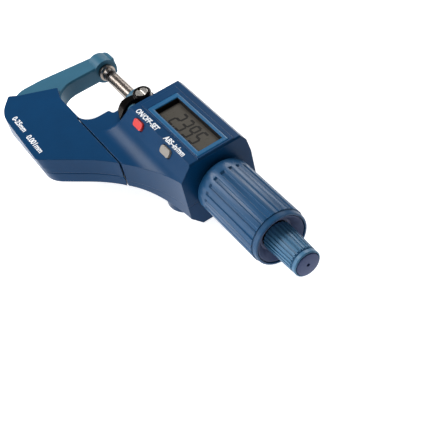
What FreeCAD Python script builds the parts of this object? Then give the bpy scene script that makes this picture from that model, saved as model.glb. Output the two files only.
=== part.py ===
import FreeCAD, Part
import math
import os
import re
import Sketcher

# Digital outside micrometer, 0 to 25 mm, lying on its back with the display up.
# The origin is the centre of the anvil's measuring face. +X runs along the spindle
# towards the ratchet, +Y towards the open side of the bow, +Z out of the display.

SIZES = (
    ("reading", 2.395, "gap between the measuring faces as shown"),
    ("travel", 25, "spindle travel from closed to open"),
    ("run_gap", 0.3, "air between pieces that move past each other"),
    ("shaft_gap", 0.03, "radial clearance of a running fit"),
    ("seat_gap", 0.02, "radial clearance of a pressed or glued seat"),
    ("spindle_dia", 6.5, "spindle and anvil"),
    ("tip_length", 1.2, "carbide tips on both measuring faces"),
    ("edge_break", 0.4, "small chamfers on turned metal pieces"),
    # cast bow
    ("frame_thick", 8.8, "bow, front to back"),
    ("frame_edge", 0.7, "chamfer round both faces of the bow"),
    ("throat_width", 27, "anvil face to the spindle boss"),
    ("throat_depth", 29.2, "spindle axis to the bottom of the throat"),
    ("throat_corner", 12, "radius of the throat beside the anvil arm"),
    ("anvil_reach", 5.5, "anvil face to the anvil arm"),
    ("arm_top", 6.5, "both arms end this far above the axis"),
    ("arm_width", 9.5, "anvil arm at its top"),
    ("bow_left", 19.3, "widest point of the bow, left of the anvil face"),
    ("bow_round", 11, "lower left round of the bow"),
    ("boss_dia", 16, "boss that guides the spindle"),
    ("boss_length", 25, ""),
    ("anvil_boss_dia", 12.4, "boss that holds the anvil"),
    ("encoder_bay", 16, "pocket between the spindle boss and the sleeve boss"),
    ("web_top", 10.4, "axis to the web under the encoder bay"),
    ("sleeve_boss_length", 29, ""),
    ("sleeve_boss_dia", 19, ""),
    ("belly_inset", 5, "bow edge inside the covers along the belly"),
    ("web_rim", 4, "rim of the bow round the hollows under the covers"),
    ("web_depth", 2.9, "hollows under the covers, one in each face"),
    # grip covers
    ("cover_face", 6.2, "axis plane to the outer face of the front cover"),
    ("cover_back", 7.7, "axis plane to the outer face of the back cover"),
    ("cover_lean", 2.3, "the wall under the covers leans in by this much at the back"),
    ("shell_wall", 1.6, "wall of covers and housing"),
    ("bow_clear", 0.6, "room round the bow inside the covers"),
    ("cover_seam", 2.2, "the covers part this far behind the axis plane"),
    ("cover_left", 13.6, ""),
    ("cover_slant_x", 4.4, ""),
    ("cover_slant", 3, "covers' upper edge above the throat's bottom"),
    ("cover_drop", 27.8, "throat's bottom to the flat under the covers"),
    ("flat_past_boss", 7.8, "the flat's end beyond the spindle boss"),
    ("heel_drop", 18.2, "throat's bottom to the heel"),
    ("heel_round", 20, ""),
    ("belly_back", 27.1, "bow's end to the corner that the belly curve rounds off"),
    ("belly_y", 20.6, ""),
    ("belly_round", 80, ""),
    ("grip_gap", 0.4, "dark joint between the covers and the housing"),
    ("lip_rise", 0.5, "throat's bottom to the covers' edge there"),
    ("side_past_boss", 2.5, "spindle boss to the housing's edge at the throat"),
    ("throat_side_round", 7.5, ""),
    # display housing
    ("block_over_boss", 4.5, "the display face starts this far over the spindle boss"),
    ("block_past_bow", 1.7, "end wall beyond the sleeve boss"),
    ("face_z", 16.7, "display face above the axis"),
    ("plateau", 0.45, "raised field round the display"),
    ("plateau_rim", 1.8, "border of the display face beside that field"),
    ("face_top", 14.1, ""),
    ("face_near", 11.4, "axis to the edge over the button slope"),
    ("side_top", 17.5, "axis to the far side wall"),
    ("end_near", 17.3, "axis to the near wall at the end"),
    ("slope_angle", 49, "button slope from level"),
    ("cove_round", 14, "hollow between the slope and the grip face"),
    ("left_lean", 23.6, "lean of the block's left end from upright"),
    ("back_z", 17.4, "axis to the flat back"),
    ("back_half", 12.5, "axis to the near edge of the flat back"),
    ("housing_seam", 4.6, "front and back mouldings part this far behind the axis"),
    ("boss_room", 0.2, "air round the bosses in the housing walls"),
    # display
    ("bezel_start", 7.5, "display face's left end to the bezel"),
    ("bezel_stop", 1.7, "bezel to the end wall"),
    ("bezel_low", 6.4, ""),
    ("bezel_high", 9.3, ""),
    ("bezel_thick", 1.4, ""),
    ("window_start", 3, "bezel's left end to the window"),
    ("window_stop", 2.5, "window to the bezel's right end"),
    ("window_low", 4.4, ""),
    ("window_high", 7.7, ""),
    ("glass_thick", 1.6, ""),
    ("glass_margin", 1.4, "glass beyond the window on each side"),
    ("board_thick", 0.8, ""),
    ("board_clear", 0.3, "circuit board above the sleeve boss"),
    ("strip_width", 1.6, "rubber contact strips under the glass"),
    # buttons
    ("button_length", 7.0, "along the slope's edge"),
    ("button_width", 3.5, "down the slope"),
    ("button_proud", 0.9, ""),
    ("button_slack", 0.3, "air round each button"),
    ("button_travel", 0.5, ""),
    ("button_down", 3.1, "slope edge to the middle of the buttons"),
    ("button_start", 10.6, "display face's left end to the first button"),
    ("button_pitch", 23.5, ""),
    ("flange_reach", 1.0, "flange behind the wall, beyond the button's ends"),
    ("flange_thick", 0.6, ""),
    # battery
    ("battery_dia", 11.6, ""),
    ("battery_thick", 5.2, ""),
    ("battery_back", 18.3, "end wall to the battery's centre"),
    ("battery_y", 8.0, "battery centre, towards the belly"),
    ("bulge_dia", 21.2, "round bulge of the back round the battery"),
    ("cap_dia", 16, ""),
    ("cap_sunk", 0.3, "cap below the flat back"),
    ("cap_thick", 1.3, ""),
    ("lug_reach", 1.0, "bayonet lugs of the cap"),
    ("coin_slot", 1.6, ""),
    # sleeve, thimble and encoder
    ("sleeve_dia", 14, "sleeve in the bow"),
    ("sleeve_reach", 31, "sleeve beyond the bow"),
    ("nut_length", 16, ""),
    ("nut_wall", 2, ""),
    ("thread_dia", 7, ""),
    ("thread_clear", 0.4, "air round the thread in the sleeve"),
    ("barrel_dia", 19.4, ""),
    ("barrel_wall", 2.2, ""),
    ("barrel_length", 23.5, ""),
    ("ring_nut_step", 0.5, "adjusting ring inside the barrel's outline"),
    ("thimble_length", 42.7, ""),
    ("grip_wall", 1.25, "moulded grip under the grooves"),
    ("groove_depth", 0.7, ""),
    ("collar_step", 0.1, "end collar above the grooves' floors"),
    ("thimble_band", 5.6, "smooth band before the grooves"),
    ("collar_length", 3.9, "smooth collar after the grooves"),
    ("core_clear", 0.6, "air between the barrel and the metal core"),
    ("core_side", 0.7, "wall of the metal core"),
    ("core_past_sleeve", 2.8, "sleeve's end to the core's end wall"),
    ("core_wall_thick", 5.6, ""),
    ("groove_count", 22, ""),
    ("groove_width", 1.8, ""),
    ("dish_depth", 4.3, "hollow in the thimble's end"),
    ("rotor_dia", 17.6, ""),
    ("rotor_thick", 1.0, ""),
    ("stator_thick", 1.4, ""),
    ("encoder_gap", 0.4, ""),
    ("bush_dia", 9.4, ""),
    ("key_width", 1.6, "keyway along the spindle"),
    ("key_depth", 1.0, ""),
    # ratchet
    ("knob_base_dia", 13.4, ""),
    ("knob_end_dia", 12.2, ""),
    ("knob_length", 20.4, ""),
    ("knob_bore", 9.4, ""),
    ("cap_bore", 11.0, "seat of the ratchet's cap"),
    ("knob_hub", 4, ""),
    ("knob_rib_count", 24, ""),
    ("knob_rib_width", 0.75, ""),
    ("clutch_thick", 1.7, ""),
    ("clutch_teeth", 12, ""),
    ("ratchet_shank_dia", 4, ""),
    ("ratchet_cap_thick", 1.8, ""),
    # lock
    ("lock_past_boss", 8.9, "spindle boss's face to the lock"),
    ("hub_dia", 8.7, ""),
    ("hub_top", 12.0, ""),
    ("lock_pin_dia", 3.6, ""),
    ("lock_washer_dia", 10.2, ""),
    ("lock_washer_thick", 0.5, ""),
    ("lock_seat", 7.6, "flat on the spindle boss under the washer"),
    ("lever_reach", 15.8, "axis to the lever's tip"),
    ("lever_round", 5, "outer curve of the lever"),
    ("lever_bend", 4, "inner curve of the lever"),
    ("lever_drop", 1, "hub's top to the lever's arm"),
    ("slot_width", 1.2, "screwdriver slot"),
    # screws
    ("screw_dia", 2.2, ""),
    ("screw_head_dia", 4.2, ""),
    ("screw_head", 1.1, ""),
    ("screw_length", 10, ""),
    ("post_dia", 4.4, "moulded posts that take the screws"),
    ("post_inset", 6, "corner posts inside the housing's walls"),
)
NAMES = {name for name, size, meaning in SIZES}

# Places worked out from the sizes

PLACES = {
    "boss_right": "throat_width + boss_length",
    "sleeve_boss_left": "boss_right + encoder_bay",
    "bow_right": "sleeve_boss_left + sleeve_boss_length",
    "bow_bottom": "cover_bottom - belly_inset",
    "cover_bottom": "throat_depth + cover_drop",
    "cover_slant_y": "throat_depth - cover_slant",
    "cover_flat_right": "throat_width + flat_past_boss",
    "heel_y": "throat_depth + heel_drop",
    "belly_x": "bow_right - belly_back",
    "throat_lip": "throat_depth - lip_rise",
    "throat_side": "throat_width + side_past_boss",
    "block_left": "boss_right - block_over_boss",
    "block_right": "bow_right + block_past_bow",
    "bezel_left": "block_left + bezel_start",
    "bezel_right": "block_right - bezel_stop",
    "window_left": "bezel_left + window_start",
    "window_right": "bezel_right - window_stop",
    "board_z": "sleeve_boss_dia / 2 + board_clear",
    "on_button_x": "block_left + button_start",
    "mode_button_x": "on_button_x + button_pitch",
    "battery_x": "block_right - battery_back",
    "sleeve_end": "bow_right + sleeve_reach",
    "sleeve_neck_dia": "barrel_dia - 2 * barrel_wall",
    "sleeve_bore": "thread_dia + 2 * thread_clear",
    "nut_start": "sleeve_end - nut_length",
    "nut_dia": "thread_dia + 2 * nut_wall",
    "barrel_end": "block_right + barrel_length",
    "ring_nut_dia": "barrel_dia - 2 * ring_nut_step",
    "core_bore": "barrel_dia + 2 * core_clear",
    "core_dia": "core_bore + 2 * core_side",
    "core_wall": "sleeve_end + core_past_sleeve",
    "core_end": "core_wall + core_wall_thick",
    "thimble_front": "block_right + run_gap",
    "thimble_end": "thimble_front + thimble_length",
    "thimble_root_dia": "core_dia + 2 * grip_wall",
    "thimble_dia": "thimble_root_dia + 2 * groove_depth",
    "thimble_collar_dia": "thimble_root_dia + 2 * collar_step",
    "grooves_start": "thimble_front + thimble_band",
    "grooves_end": "thimble_end - collar_length",
    "thread_start": "nut_start - travel",
    "bush_left": "boss_right + stator_thick + encoder_gap",
    "knob_start": "core_end + clutch_thick + run_gap",
    "knob_end": "knob_start + knob_length",
    "cap_seat": "knob_end - ratchet_cap_thick",
    "screw_seat": "cap_seat - 4",
    "lock_x": "throat_width + lock_past_boss",
    "lever_low": "lock_seat + lock_washer_thick + run_gap",
    "glass_top": "face_z - shell_wall",
    "board_top": "board_z + board_thick",
    "bezel_seat": "face_z - shell_wall / 2",
    "cap_ceiling": "-back_z + cap_sunk + cap_thick + run_gap",
    "cell_top": "cap_ceiling + battery_thick + 0.1",
    "lug_low": "-back_z + cap_sunk + 0.6",
    "slope_run": "(face_z - cover_face) / tan(slope_angle)",
    "lean_run": "(face_z - cover_face) * tan(left_lean)",
    "lip_end": "throat_side - throat_side_round + 1.5",
}

doc = FreeCAD.newDocument("outside_micrometer")
sheet = doc.addObject("Spreadsheet::Sheet", "Sizes")
for row, (name, size, meaning) in enumerate(SIZES, start=1):
    sheet.set(f"A{row}", name)
    sheet.set(f"B{row}", str(size))
    sheet.set(f"C{row}", meaning)
    sheet.setAlias(f"B{row}", name)
doc.recompute()


def cells(expression):
    """Write out the places in an expression and point each size's name at its cell."""

    def written_out(word):
        if word[0] in PLACES:
            return f"({cells(PLACES[word[0]])})"
        return "Sizes." + word[0] if word[0] in NAMES else word[0]

    return re.sub(r"[a-z_]+", written_out, expression)


def number(expression):
    """The present value of an expression of sizes."""
    return float(sheet.evalExpression(cells(expression)))


def bind(thing, **expressions):
    """Bind properties of an object to expressions of sizes."""
    for name, expression in expressions.items():
        thing.setExpression(name, cells(expression))
    return thing


def place(thing, x="0", y="0", z="0"):
    """Bind an object's position."""
    for axis, expression in (("x", x), ("y", y), ("z", z)):
        thing.setExpression("Placement.Base." + axis, cells(expression))
    return thing


# Sketches and solids

PLANES = {
    "XY": FreeCAD.Rotation(),
    "YZ": FreeCAD.Rotation(FreeCAD.Vector(1, 1, 1), 120),
    "XZ": FreeCAD.Rotation(FreeCAD.Vector(1, 0, 0), 90),
}
ORIGIN = (-1, 1)


def draw(sketch, corners):
    """Draw a closed outline through corners (x, y) or (x, y, radius), all bound to sizes."""
    count = len(corners)
    spots = [FreeCAD.Vector(number(c[0]), number(c[1]), 0) for c in corners]
    radii = [number(c[2]) if len(c) > 2 else 0 for c in corners]
    ends = []
    for k, spot in enumerate(spots):
        to_last = (spots[k - 1] - spot).normalize()
        to_next = (spots[(k + 1) % count] - spot).normalize()
        back = radii[k] / math.tan(to_last.getAngle(to_next) / 2) if radii[k] else 0
        ends.append((spot + to_last * back, spot + to_next * back))
    lines = []
    for k in range(count):
        side = Part.LineSegment(ends[k][1], ends[(k + 1) % count][0])
        lines.append(sketch.addGeometry(side, False))
    rules = []
    sizes = []

    def measure(kind, item, expression):
        sizes.append((len(rules), expression))
        rules.append(Sketcher.Constraint(kind, *ORIGIN, *item, number(expression)))

    for k, corner in enumerate(corners):
        last = lines[k - 1]
        line = lines[k]
        if not radii[k]:
            rules.append(Sketcher.Constraint("Coincident", last, 2, line, 1))
            measure("DistanceX", (line, 1), corner[0])
            measure("DistanceY", (line, 1), corner[1])
            continue
        point = sketch.addGeometry(Part.Point(spots[k]), True)
        measure("DistanceX", (point, 1), corner[0])
        measure("DistanceY", (point, 1), corner[1])
        rules.append(Sketcher.Constraint("PointOnObject", point, 1, last))
        rules.append(Sketcher.Constraint("PointOnObject", point, 1, line))
        start, end = ends[k]
        bisector = ((start + end) * 0.5 - spots[k]).normalize()
        reach = math.hypot(radii[k], (start - spots[k]).Length)
        centre = spots[k] + bisector * reach
        angles = [math.atan2(p.y - centre.y, p.x - centre.x) for p in (start, end)]
        turns_left = (start - spots[k]).cross(end - spots[k]).z < 0
        first, second = angles if turns_left else reversed(angles)
        circle = Part.Circle(centre, FreeCAD.Vector(0, 0, 1), radii[k])
        arc = sketch.addGeometry(Part.ArcOfCircle(circle, first, second), False)
        near, far = (1, 2) if turns_left else (2, 1)
        rules.append(Sketcher.Constraint("Tangent", last, 2, arc, near))
        rules.append(Sketcher.Constraint("Tangent", arc, far, line, 1))
        sizes.append((len(rules), corner[2]))
        rules.append(Sketcher.Constraint("Radius", arc, radii[k]))
    sketch.addConstraint(rules)
    for index, expression in sizes:
        sketch.setExpression(f"Constraints[{index}]", cells(expression))
    return sketch


def outline(label, plane, corners):
    """A sketch that stands in the document by itself."""
    sketch = doc.addObject("Sketcher::SketchObject", label)
    sketch.Placement = FreeCAD.Placement(FreeCAD.Vector(), PLANES[plane])
    return draw(sketch, corners)


def extrude(label, sketch, low, high):
    """A solid between two heights over a sketch."""
    solid = doc.addObject("Part::Extrusion", label)
    solid.Base = sketch
    solid.DirMode = "Normal"
    solid.Solid = True
    return bind(solid, LengthFwd=high, LengthRev=f"-({low})")


def inset(label, sketch, distance):
    """A copy of a sketch's outline, moved in by a distance, or out by a negative one."""
    ring = doc.addObject("Part::Offset2D", label)
    ring.Source = sketch
    ring.Join = "Intersection"
    return bind(ring, Value=f"-({distance})")


def block(label, low, high):
    """A box between two corners."""
    box = doc.addObject("Part::Box", label)
    spans = [f"({b}) - ({a})" for a, b in zip(low, high)]
    bind(box, Length=spans[0], Width=spans[1], Height=spans[2])
    return place(box, *low)


def bar(label, start, end, dia, y="0", z="0"):
    """A round bar along X."""
    rod = doc.addObject("Part::Cylinder", label)
    rod.Placement = FreeCAD.Placement(
        FreeCAD.Vector(), FreeCAD.Rotation(FreeCAD.Vector(0, 1, 0), 90)
    )
    bind(rod, Radius=f"({dia}) / 2", Height=f"({end}) - ({start})")
    return place(rod, start, y, z)


def post(label, x, y, low, high, dia):
    """An upright round post."""
    rod = doc.addObject("Part::Cylinder", label)
    bind(rod, Radius=f"({dia}) / 2", Height=f"({high}) - ({low})")
    return place(rod, x, y, low)


def cut(label, base, tool):
    result = doc.addObject("Part::Cut", label)
    result.Base = base
    result.Tool = tool
    return result


def fuse(label, *solids):
    result = doc.addObject("Part::MultiFuse", label)
    result.Shapes = list(solids)
    return result


def common(label, *solids):
    result = doc.addObject("Part::MultiCommon", label)
    result.Shapes = list(solids)
    return result


def new_body(label):
    body = doc.addObject("PartDesign::Body", label)
    body.Label = label
    return body


def origin_part(body, role):
    """One of a body's own origin planes or axes."""
    return next(part for part in body.Origin.OriginFeatures if part.Role == role)


def body_sketch(body, role, corners, height="0"):
    """A sketch on one of a body's own origin planes, lifted off it by a height."""
    sketch = body.newObject("Sketcher::SketchObject", body.Name + "_sketch")
    sketch.AttachmentSupport = [(origin_part(body, role), "")]
    sketch.MapMode = "FlatFace"
    sketch.setExpression("AttachmentOffset.Base.z", cells(height))
    return draw(sketch, corners)


def turn(body, corners):
    """Revolve a profile (x, radius) round the body's X axis."""
    sketch = body_sketch(body, "XY_Plane", corners)
    solid = body.newObject("PartDesign::Revolution", body.Name + "_turned")
    solid.Profile = sketch
    solid.ReferenceAxis = (sketch, ["H_Axis"])
    solid.Angle = 360
    body.Tip = solid
    return solid


def turned(label, corners, x="0", y="0", z="0", lean=0):
    """A turned piece along X, or along Z with a lean of -90 or 90 degrees about Y."""
    body = new_body(label)
    turn(body, corners)
    body.Placement = FreeCAD.Placement(
        FreeCAD.Vector(), FreeCAD.Rotation(FreeCAD.Vector(0, 1, 0), lean)
    )
    return place(body, x, y, z)


def disc(start, end, outer, inner="0"):
    """The profile of a plain ring or disc."""
    corners = [(start, f"({outer}) / 2"), (end, f"({outer}) / 2")]
    return corners + [(end, f"({inner}) / 2"), (start, f"({inner}) / 2")]


def pad(body, role, corners, height, length, down=False):
    """A pad over a sketch that lies at a height over an origin plane."""
    sketch = body_sketch(body, role, corners, height)
    solid = body.newObject("PartDesign::Pad", body.Name + "_pad")
    solid.Profile = sketch
    solid.Reversed = down
    body.Tip = solid
    return bind(solid, Length=length)


def pocket(body, role, corners, height, depth, up=False):
    """A pocket from a sketch that lies at a height over an origin plane."""
    sketch = body_sketch(body, role, corners, height)
    hole = body.newObject("PartDesign::Pocket", body.Name + "_pocket")
    hole.Profile = sketch
    hole.Reversed = up
    body.Tip = hole
    return bind(hole, Length=depth)


def repeat_round(body, feature, count):
    """Repeat a feature round the body's X axis."""
    pattern = body.newObject("PartDesign::PolarPattern", body.Name + "_round")
    pattern.Originals = [feature]
    pattern.Axis = (origin_part(body, "X_Axis"), [""])
    pattern.Angle = 360
    body.Tip = pattern
    return bind(pattern, Occurrences=count)


def rectangle(x_low, x_high, y_low, y_high):
    return [(x_low, y_low), (x_high, y_low), (x_high, y_high), (x_low, y_high)]


# Cast bow: one casting with a boss for the anvil, a boss that guides the spindle and
# a boss that holds the sleeve, joined under the encoder by a web.

frame_outline = outline(
    "frame_outline",
    "XY",
    [
        ("-anvil_reach", "arm_top", "2"),
        ("-anvil_reach", "-throat_depth", "throat_corner"),
        ("throat_side + 1", "-throat_depth", "throat_side_round"),
        ("throat_side + 1", "arm_top", "1.5"),
        ("boss_right", "arm_top"),
        ("boss_right", "-web_top"),
        ("sleeve_boss_left", "-web_top"),
        ("sleeve_boss_left", "arm_top"),
        ("bow_right", "arm_top"),
        ("bow_right", "-end_near + belly_inset - 0.4"),
        ("belly_x - belly_inset / 2", "-belly_y + belly_inset - 0.4", "belly_round"),
        ("cover_flat_right - 1.2", "-bow_bottom", "3"),
        ("-bow_left + bow_round", "-bow_bottom", "bow_round"),
        ("-bow_left", "-cover_left - throat_depth", "bow_round"),
        ("-bow_left", "-throat_depth", "40"),
        ("-anvil_reach - arm_width", "arm_top", "3"),
    ],
)
frame_plate = extrude("frame_plate", frame_outline, "-frame_thick / 2", "frame_thick / 2")
doc.recompute()
half_thick = number("frame_thick / 2")
face_edges = [
    index
    for index, edge in enumerate(frame_plate.Shape.Edges, start=1)
    if all(abs(abs(v.Point.z) - half_thick) < 1e-6 for v in edge.Vertexes)
]
frame_edges = doc.addObject("Part::Chamfer", "frame_edges")
frame_edges.Base = frame_plate
frame_edges.Edges = [(i, number("frame_edge"), number("frame_edge")) for i in face_edges]
anvil_boss = bar("anvil_boss", "-anvil_reach - arm_width + 1", "-anvil_reach", "anvil_boss_dia")
spindle_boss = bar("spindle_boss", "throat_width", "boss_right", "boss_dia")
sleeve_boss = bar("sleeve_boss", "sleeve_boss_left", "bow_right", "sleeve_boss_dia")
frame_solid = fuse("frame_solid", frame_edges, anvil_boss, spindle_boss, sleeve_boss)
web_outline = outline(
    "web_outline",
    "XY",
    [
        ("-cover_slant_x - 0.6", "-throat_depth - web_rim", "2"),
        ("-cover_left + 3.4", "-cover_left - throat_depth + 0.6", "3"),
        ("-bow_left + bow_round + 1.5", "-bow_bottom + web_rim", "5"),
        ("cover_flat_right - 3", "-bow_bottom + web_rim", "2"),
        ("cover_flat_right - 3 + cover_drop - belly_inset - 2 * web_rim", "-throat_depth - web_rim", "2"),
    ],
)
web_hollows = (
    extrude("front_hollow", web_outline, "frame_thick / 2 - web_depth", "frame_thick / 2 + 1"),
    extrude("back_hollow", web_outline, "-frame_thick / 2 - 1", "-frame_thick / 2 + web_depth"),
)

# Screws: six of one kind, through the back mouldings into posts of the front ones

SCREWS = {
    "corner_screw": ("block_left + post_inset", "side_top - post_inset", "back_z", "face_z"),
    "end_screw": ("block_right - post_inset", "side_top - post_inset", "back_z", "face_z"),
    "lip_screw": ("throat_side + 8", "-throat_depth + 5.2", "cover_back", "cover_face"),
    "web_screw": ("block_left + 3", "-throat_depth + 5.2", "cover_back", "cover_face"),
    "heel_screw": ("1", "-bow_bottom + 8", "cover_back", "cover_face"),
    "belly_screw": ("cover_flat_right + 2", "-bow_bottom + 12", "cover_back", "cover_face"),
}
screws = {}
posts = {}
screw_holes = {}
post_rooms = []
for name, (x, y, seat, face) in SCREWS.items():
    screws[name] = turned(
        name,
        [
            ("0", "0"),
            ("0", "screw_head_dia / 2"),
            ("screw_head", "screw_head_dia / 2"),
            ("screw_head", "screw_dia / 2"),
            ("screw_length", "screw_dia / 2"),
            ("screw_length", "0"),
        ],
        x,
        y,
        f"-({seat}) + 0.1",
        -90,
    )
    screw_holes[name] = fuse(
        name + "_hole",
        post(name + "_bore", x, y, "-back_z", "cover_face - shell_wall", "screw_dia + 2 * seat_gap"),
        post(name + "_sink", x, y, "-back_z - 1", f"-({seat}) + 0.1 + screw_head", "screw_head_dia + 0.2"),
    )
    posts[name] = post(
        name + "_post", x, y, f"-({seat}) + shell_wall", f"{face} - shell_wall / 2", "post_dia"
    )
    post_rooms.append(
        post(name + "_room", x, y, "-frame_thick", "frame_thick", "post_dia + 2 * bow_clear")
    )
case_screws = doc.addObject("Part::Compound", "case_screws")
case_screws.Links = list(screws.values())

lock_seat_cut = post("lock_seat_cut", "lock_x", "0", "lock_seat", "boss_dia", "lock_washer_dia + 0.4")
frame_holes = fuse(
    "frame_holes",
    bar("anvil_bore", "-anvil_reach - arm_width", "0", "spindle_dia + 2 * seat_gap"),
    bar("spindle_bore", "throat_width - 1", "boss_right + 1", "spindle_dia + 2 * shaft_gap"),
    bar("sleeve_bore", "sleeve_boss_left - 1", "bow_right + 1", "sleeve_dia + 2 * seat_gap"),
    post("lock_bore", "lock_x", "0", "0", "boss_dia", "lock_pin_dia + 2 * shaft_gap"),
    lock_seat_cut,
    *web_hollows,
    *post_rooms,
)
frame = cut("frame", frame_solid, frame_holes)

# Anvil: a hardened pin with a collar, pressed into its boss, with a carbide face

anvil = turned(
    "anvil",
    [
        ("-anvil_reach - arm_width + 1", "0"),
        ("-anvil_reach - arm_width + 1", "spindle_dia / 2"),
        ("-anvil_reach", "spindle_dia / 2"),
        ("-anvil_reach", "spindle_dia / 2 + 0.9"),
        ("-anvil_reach + 2", "spindle_dia / 2 + 0.9"),
        ("-anvil_reach + 2 + edge_break", "spindle_dia / 2"),
        ("-tip_length", "spindle_dia / 2"),
        ("-tip_length", "0"),
    ],
)
anvil_tip = turned(
    "anvil_tip",
    [
        ("-tip_length", "0"),
        ("-tip_length", "spindle_dia / 2"),
        ("-0.2", "spindle_dia / 2"),
        ("0", "spindle_dia / 2 - 0.2"),
        ("0", "0"),
    ],
)

# Spindle: plain shank, keyway for the encoder, thread, and a seat for the thimble.
# Everything that travels with it is drawn closed and moved out by the reading.

spindle = new_body("spindle")
turn(
    spindle,
    [
        ("tip_length", "0"),
        ("tip_length", "spindle_dia / 2"),
        ("thread_start - 0.5", "spindle_dia / 2"),
        ("thread_start", "thread_dia / 2"),
        ("sleeve_end - 0.5", "thread_dia / 2"),
        ("sleeve_end", "thread_dia / 2 - 0.5"),
        ("core_end - 0.1", "thread_dia / 2 - 0.5"),
        ("core_end - 0.1", "ratchet_shank_dia / 2"),
        ("core_end - 9", "ratchet_shank_dia / 2"),
        ("core_end - 9", "0"),
    ],
)
pocket(
    spindle,
    "XY_Plane",
    rectangle(
        "bush_left - travel - 1",
        "sleeve_boss_left + 1",
        "-key_width / 2",
        "key_width / 2",
    ),
    "spindle_dia / 2 + 1",
    "key_depth + 1",
)
place(spindle, "reading")
spindle_tip = turned(
    "spindle_tip",
    [
        ("0", "0"),
        ("0", "spindle_dia / 2 - 0.2"),
        ("0.2", "spindle_dia / 2"),
        ("tip_length", "spindle_dia / 2"),
        ("tip_length", "0"),
    ],
    "reading",
)

# Encoder: a fixed disc on the spindle boss and a turning disc on a keyed bush

encoder_stator = turned(
    "encoder_stator",
    disc("boss_right", "boss_right + stator_thick", "rotor_dia + 1", "bush_dia"),
)
encoder_rotor = turned(
    "encoder_rotor",
    disc("bush_left", "bush_left + rotor_thick", "rotor_dia", "bush_dia + 2 * seat_gap"),
)
bush_ring = turned(
    "bush_ring",
    [
        ("bush_left", "spindle_dia / 2 + shaft_gap"),
        ("bush_left", "bush_dia / 2"),
        ("bush_left + rotor_thick", "bush_dia / 2"),
        ("bush_left + rotor_thick", "bush_dia / 2 + 2"),
        ("bush_left + rotor_thick + 1.5", "bush_dia / 2 + 2"),
        ("bush_left + rotor_thick + 1.5", "bush_dia / 2"),
        ("sleeve_boss_left - 0.5", "bush_dia / 2"),
        ("sleeve_boss_left - 0.5", "spindle_dia / 2 + shaft_gap"),
    ],
)
bush_key = block(
    "bush_key",
    ("bush_left + 3", "-key_width / 2 + 0.1", "spindle_dia / 2 - key_depth + 0.2"),
    ("sleeve_boss_left - 0.5", "key_width / 2 - 0.1", "bush_dia / 2 - 0.4"),
)
rotor_bush = fuse("rotor_bush", bush_ring, bush_key)

# Sleeve in the bow, with the spindle nut, its adjusting ring and the barrel

inner_sleeve = turned(
    "inner_sleeve",
    [
        ("sleeve_boss_left + 2", "sleeve_bore / 2"),
        ("sleeve_boss_left + 2", "sleeve_dia / 2 - edge_break"),
        ("sleeve_boss_left + 2 + edge_break", "sleeve_dia / 2"),
        ("bow_right", "sleeve_dia / 2"),
        ("bow_right", "sleeve_neck_dia / 2"),
        ("sleeve_end", "sleeve_neck_dia / 2"),
        ("sleeve_end", "nut_dia / 2"),
        ("nut_start", "nut_dia / 2"),
        ("nut_start", "sleeve_bore / 2"),
    ],
)
spindle_nut = turned(
    "spindle_nut",
    disc(
        "nut_start", "sleeve_end - 0.5", "nut_dia - 2 * seat_gap", "thread_dia + 2 * shaft_gap"
    ),
)
adjusting_nut = turned(
    "adjusting_nut",
    disc("barrel_end + 0.3", "sleeve_end - 1", "ring_nut_dia", "sleeve_neck_dia + 2 * seat_gap"),
)
barrel = turned(
    "barrel",
    disc("block_right + 0.15", "barrel_end", "barrel_dia", "sleeve_neck_dia + 2 * seat_gap"),
)

# Thimble: a metal core on the spindle's seat, inside a moulded grip with grooves

thimble_core = turned(
    "thimble_core",
    [
        ("thimble_front + 0.6", "core_bore / 2"),
        ("thimble_front + 0.6", "core_dia / 2"),
        ("core_end", "core_dia / 2"),
        ("core_end", "thread_dia / 2 - 0.5 + seat_gap"),
        ("core_wall", "thread_dia / 2 - 0.5 + seat_gap"),
        ("core_wall", "core_bore / 2"),
    ],
    "reading",
)
thimble = new_body("thimble")
turn(
    thimble,
    [
        ("thimble_front", "core_dia / 2 + seat_gap"),
        ("thimble_front", "thimble_dia / 2 - 0.5"),
        ("thimble_front + 0.5", "thimble_dia / 2"),
        ("grooves_end - 0.3", "thimble_dia / 2"),
        ("grooves_end", "thimble_collar_dia / 2"),
        ("thimble_end - 0.5", "thimble_collar_dia / 2"),
        ("thimble_end", "thimble_collar_dia / 2 - 0.5"),
        ("thimble_end", "thimble_collar_dia / 2 - 1"),
        ("thimble_end - dish_depth", "knob_base_dia / 2 + 1.2"),
        ("thimble_end - dish_depth - 0.8", "knob_base_dia / 2 + 0.5"),
        ("core_end", "knob_base_dia / 2 + 0.5"),
        ("core_end", "core_dia / 2 + seat_gap"),
    ],
)
groove = pocket(
    thimble,
    "XY_Plane",
    [
        ("grooves_start", "-groove_width / 5"),
        ("grooves_start + 0.6", "-groove_width / 2"),
        ("grooves_end + 0.1", "-groove_width / 2"),
        ("grooves_end + 0.1", "groove_width / 2"),
        ("grooves_start + 0.6", "groove_width / 2"),
        ("grooves_start", "groove_width / 5"),
    ],
    "thimble_dia / 2 + 1",
    "groove_depth + 1",
)
repeat_round(thimble, groove, "groove_count")
half_pitch = "180 / groove_count"
thimble.Placement = FreeCAD.Placement(
    FreeCAD.Vector(), FreeCAD.Rotation(FreeCAD.Vector(1, 0, 0), number(half_pitch))
)
bind(place(thimble, "reading"), **{"Placement.Rotation.Angle": half_pitch})

# Ratchet: a toothed disc on the core, a sprung knob on a shouldered screw, and a cap

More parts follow.
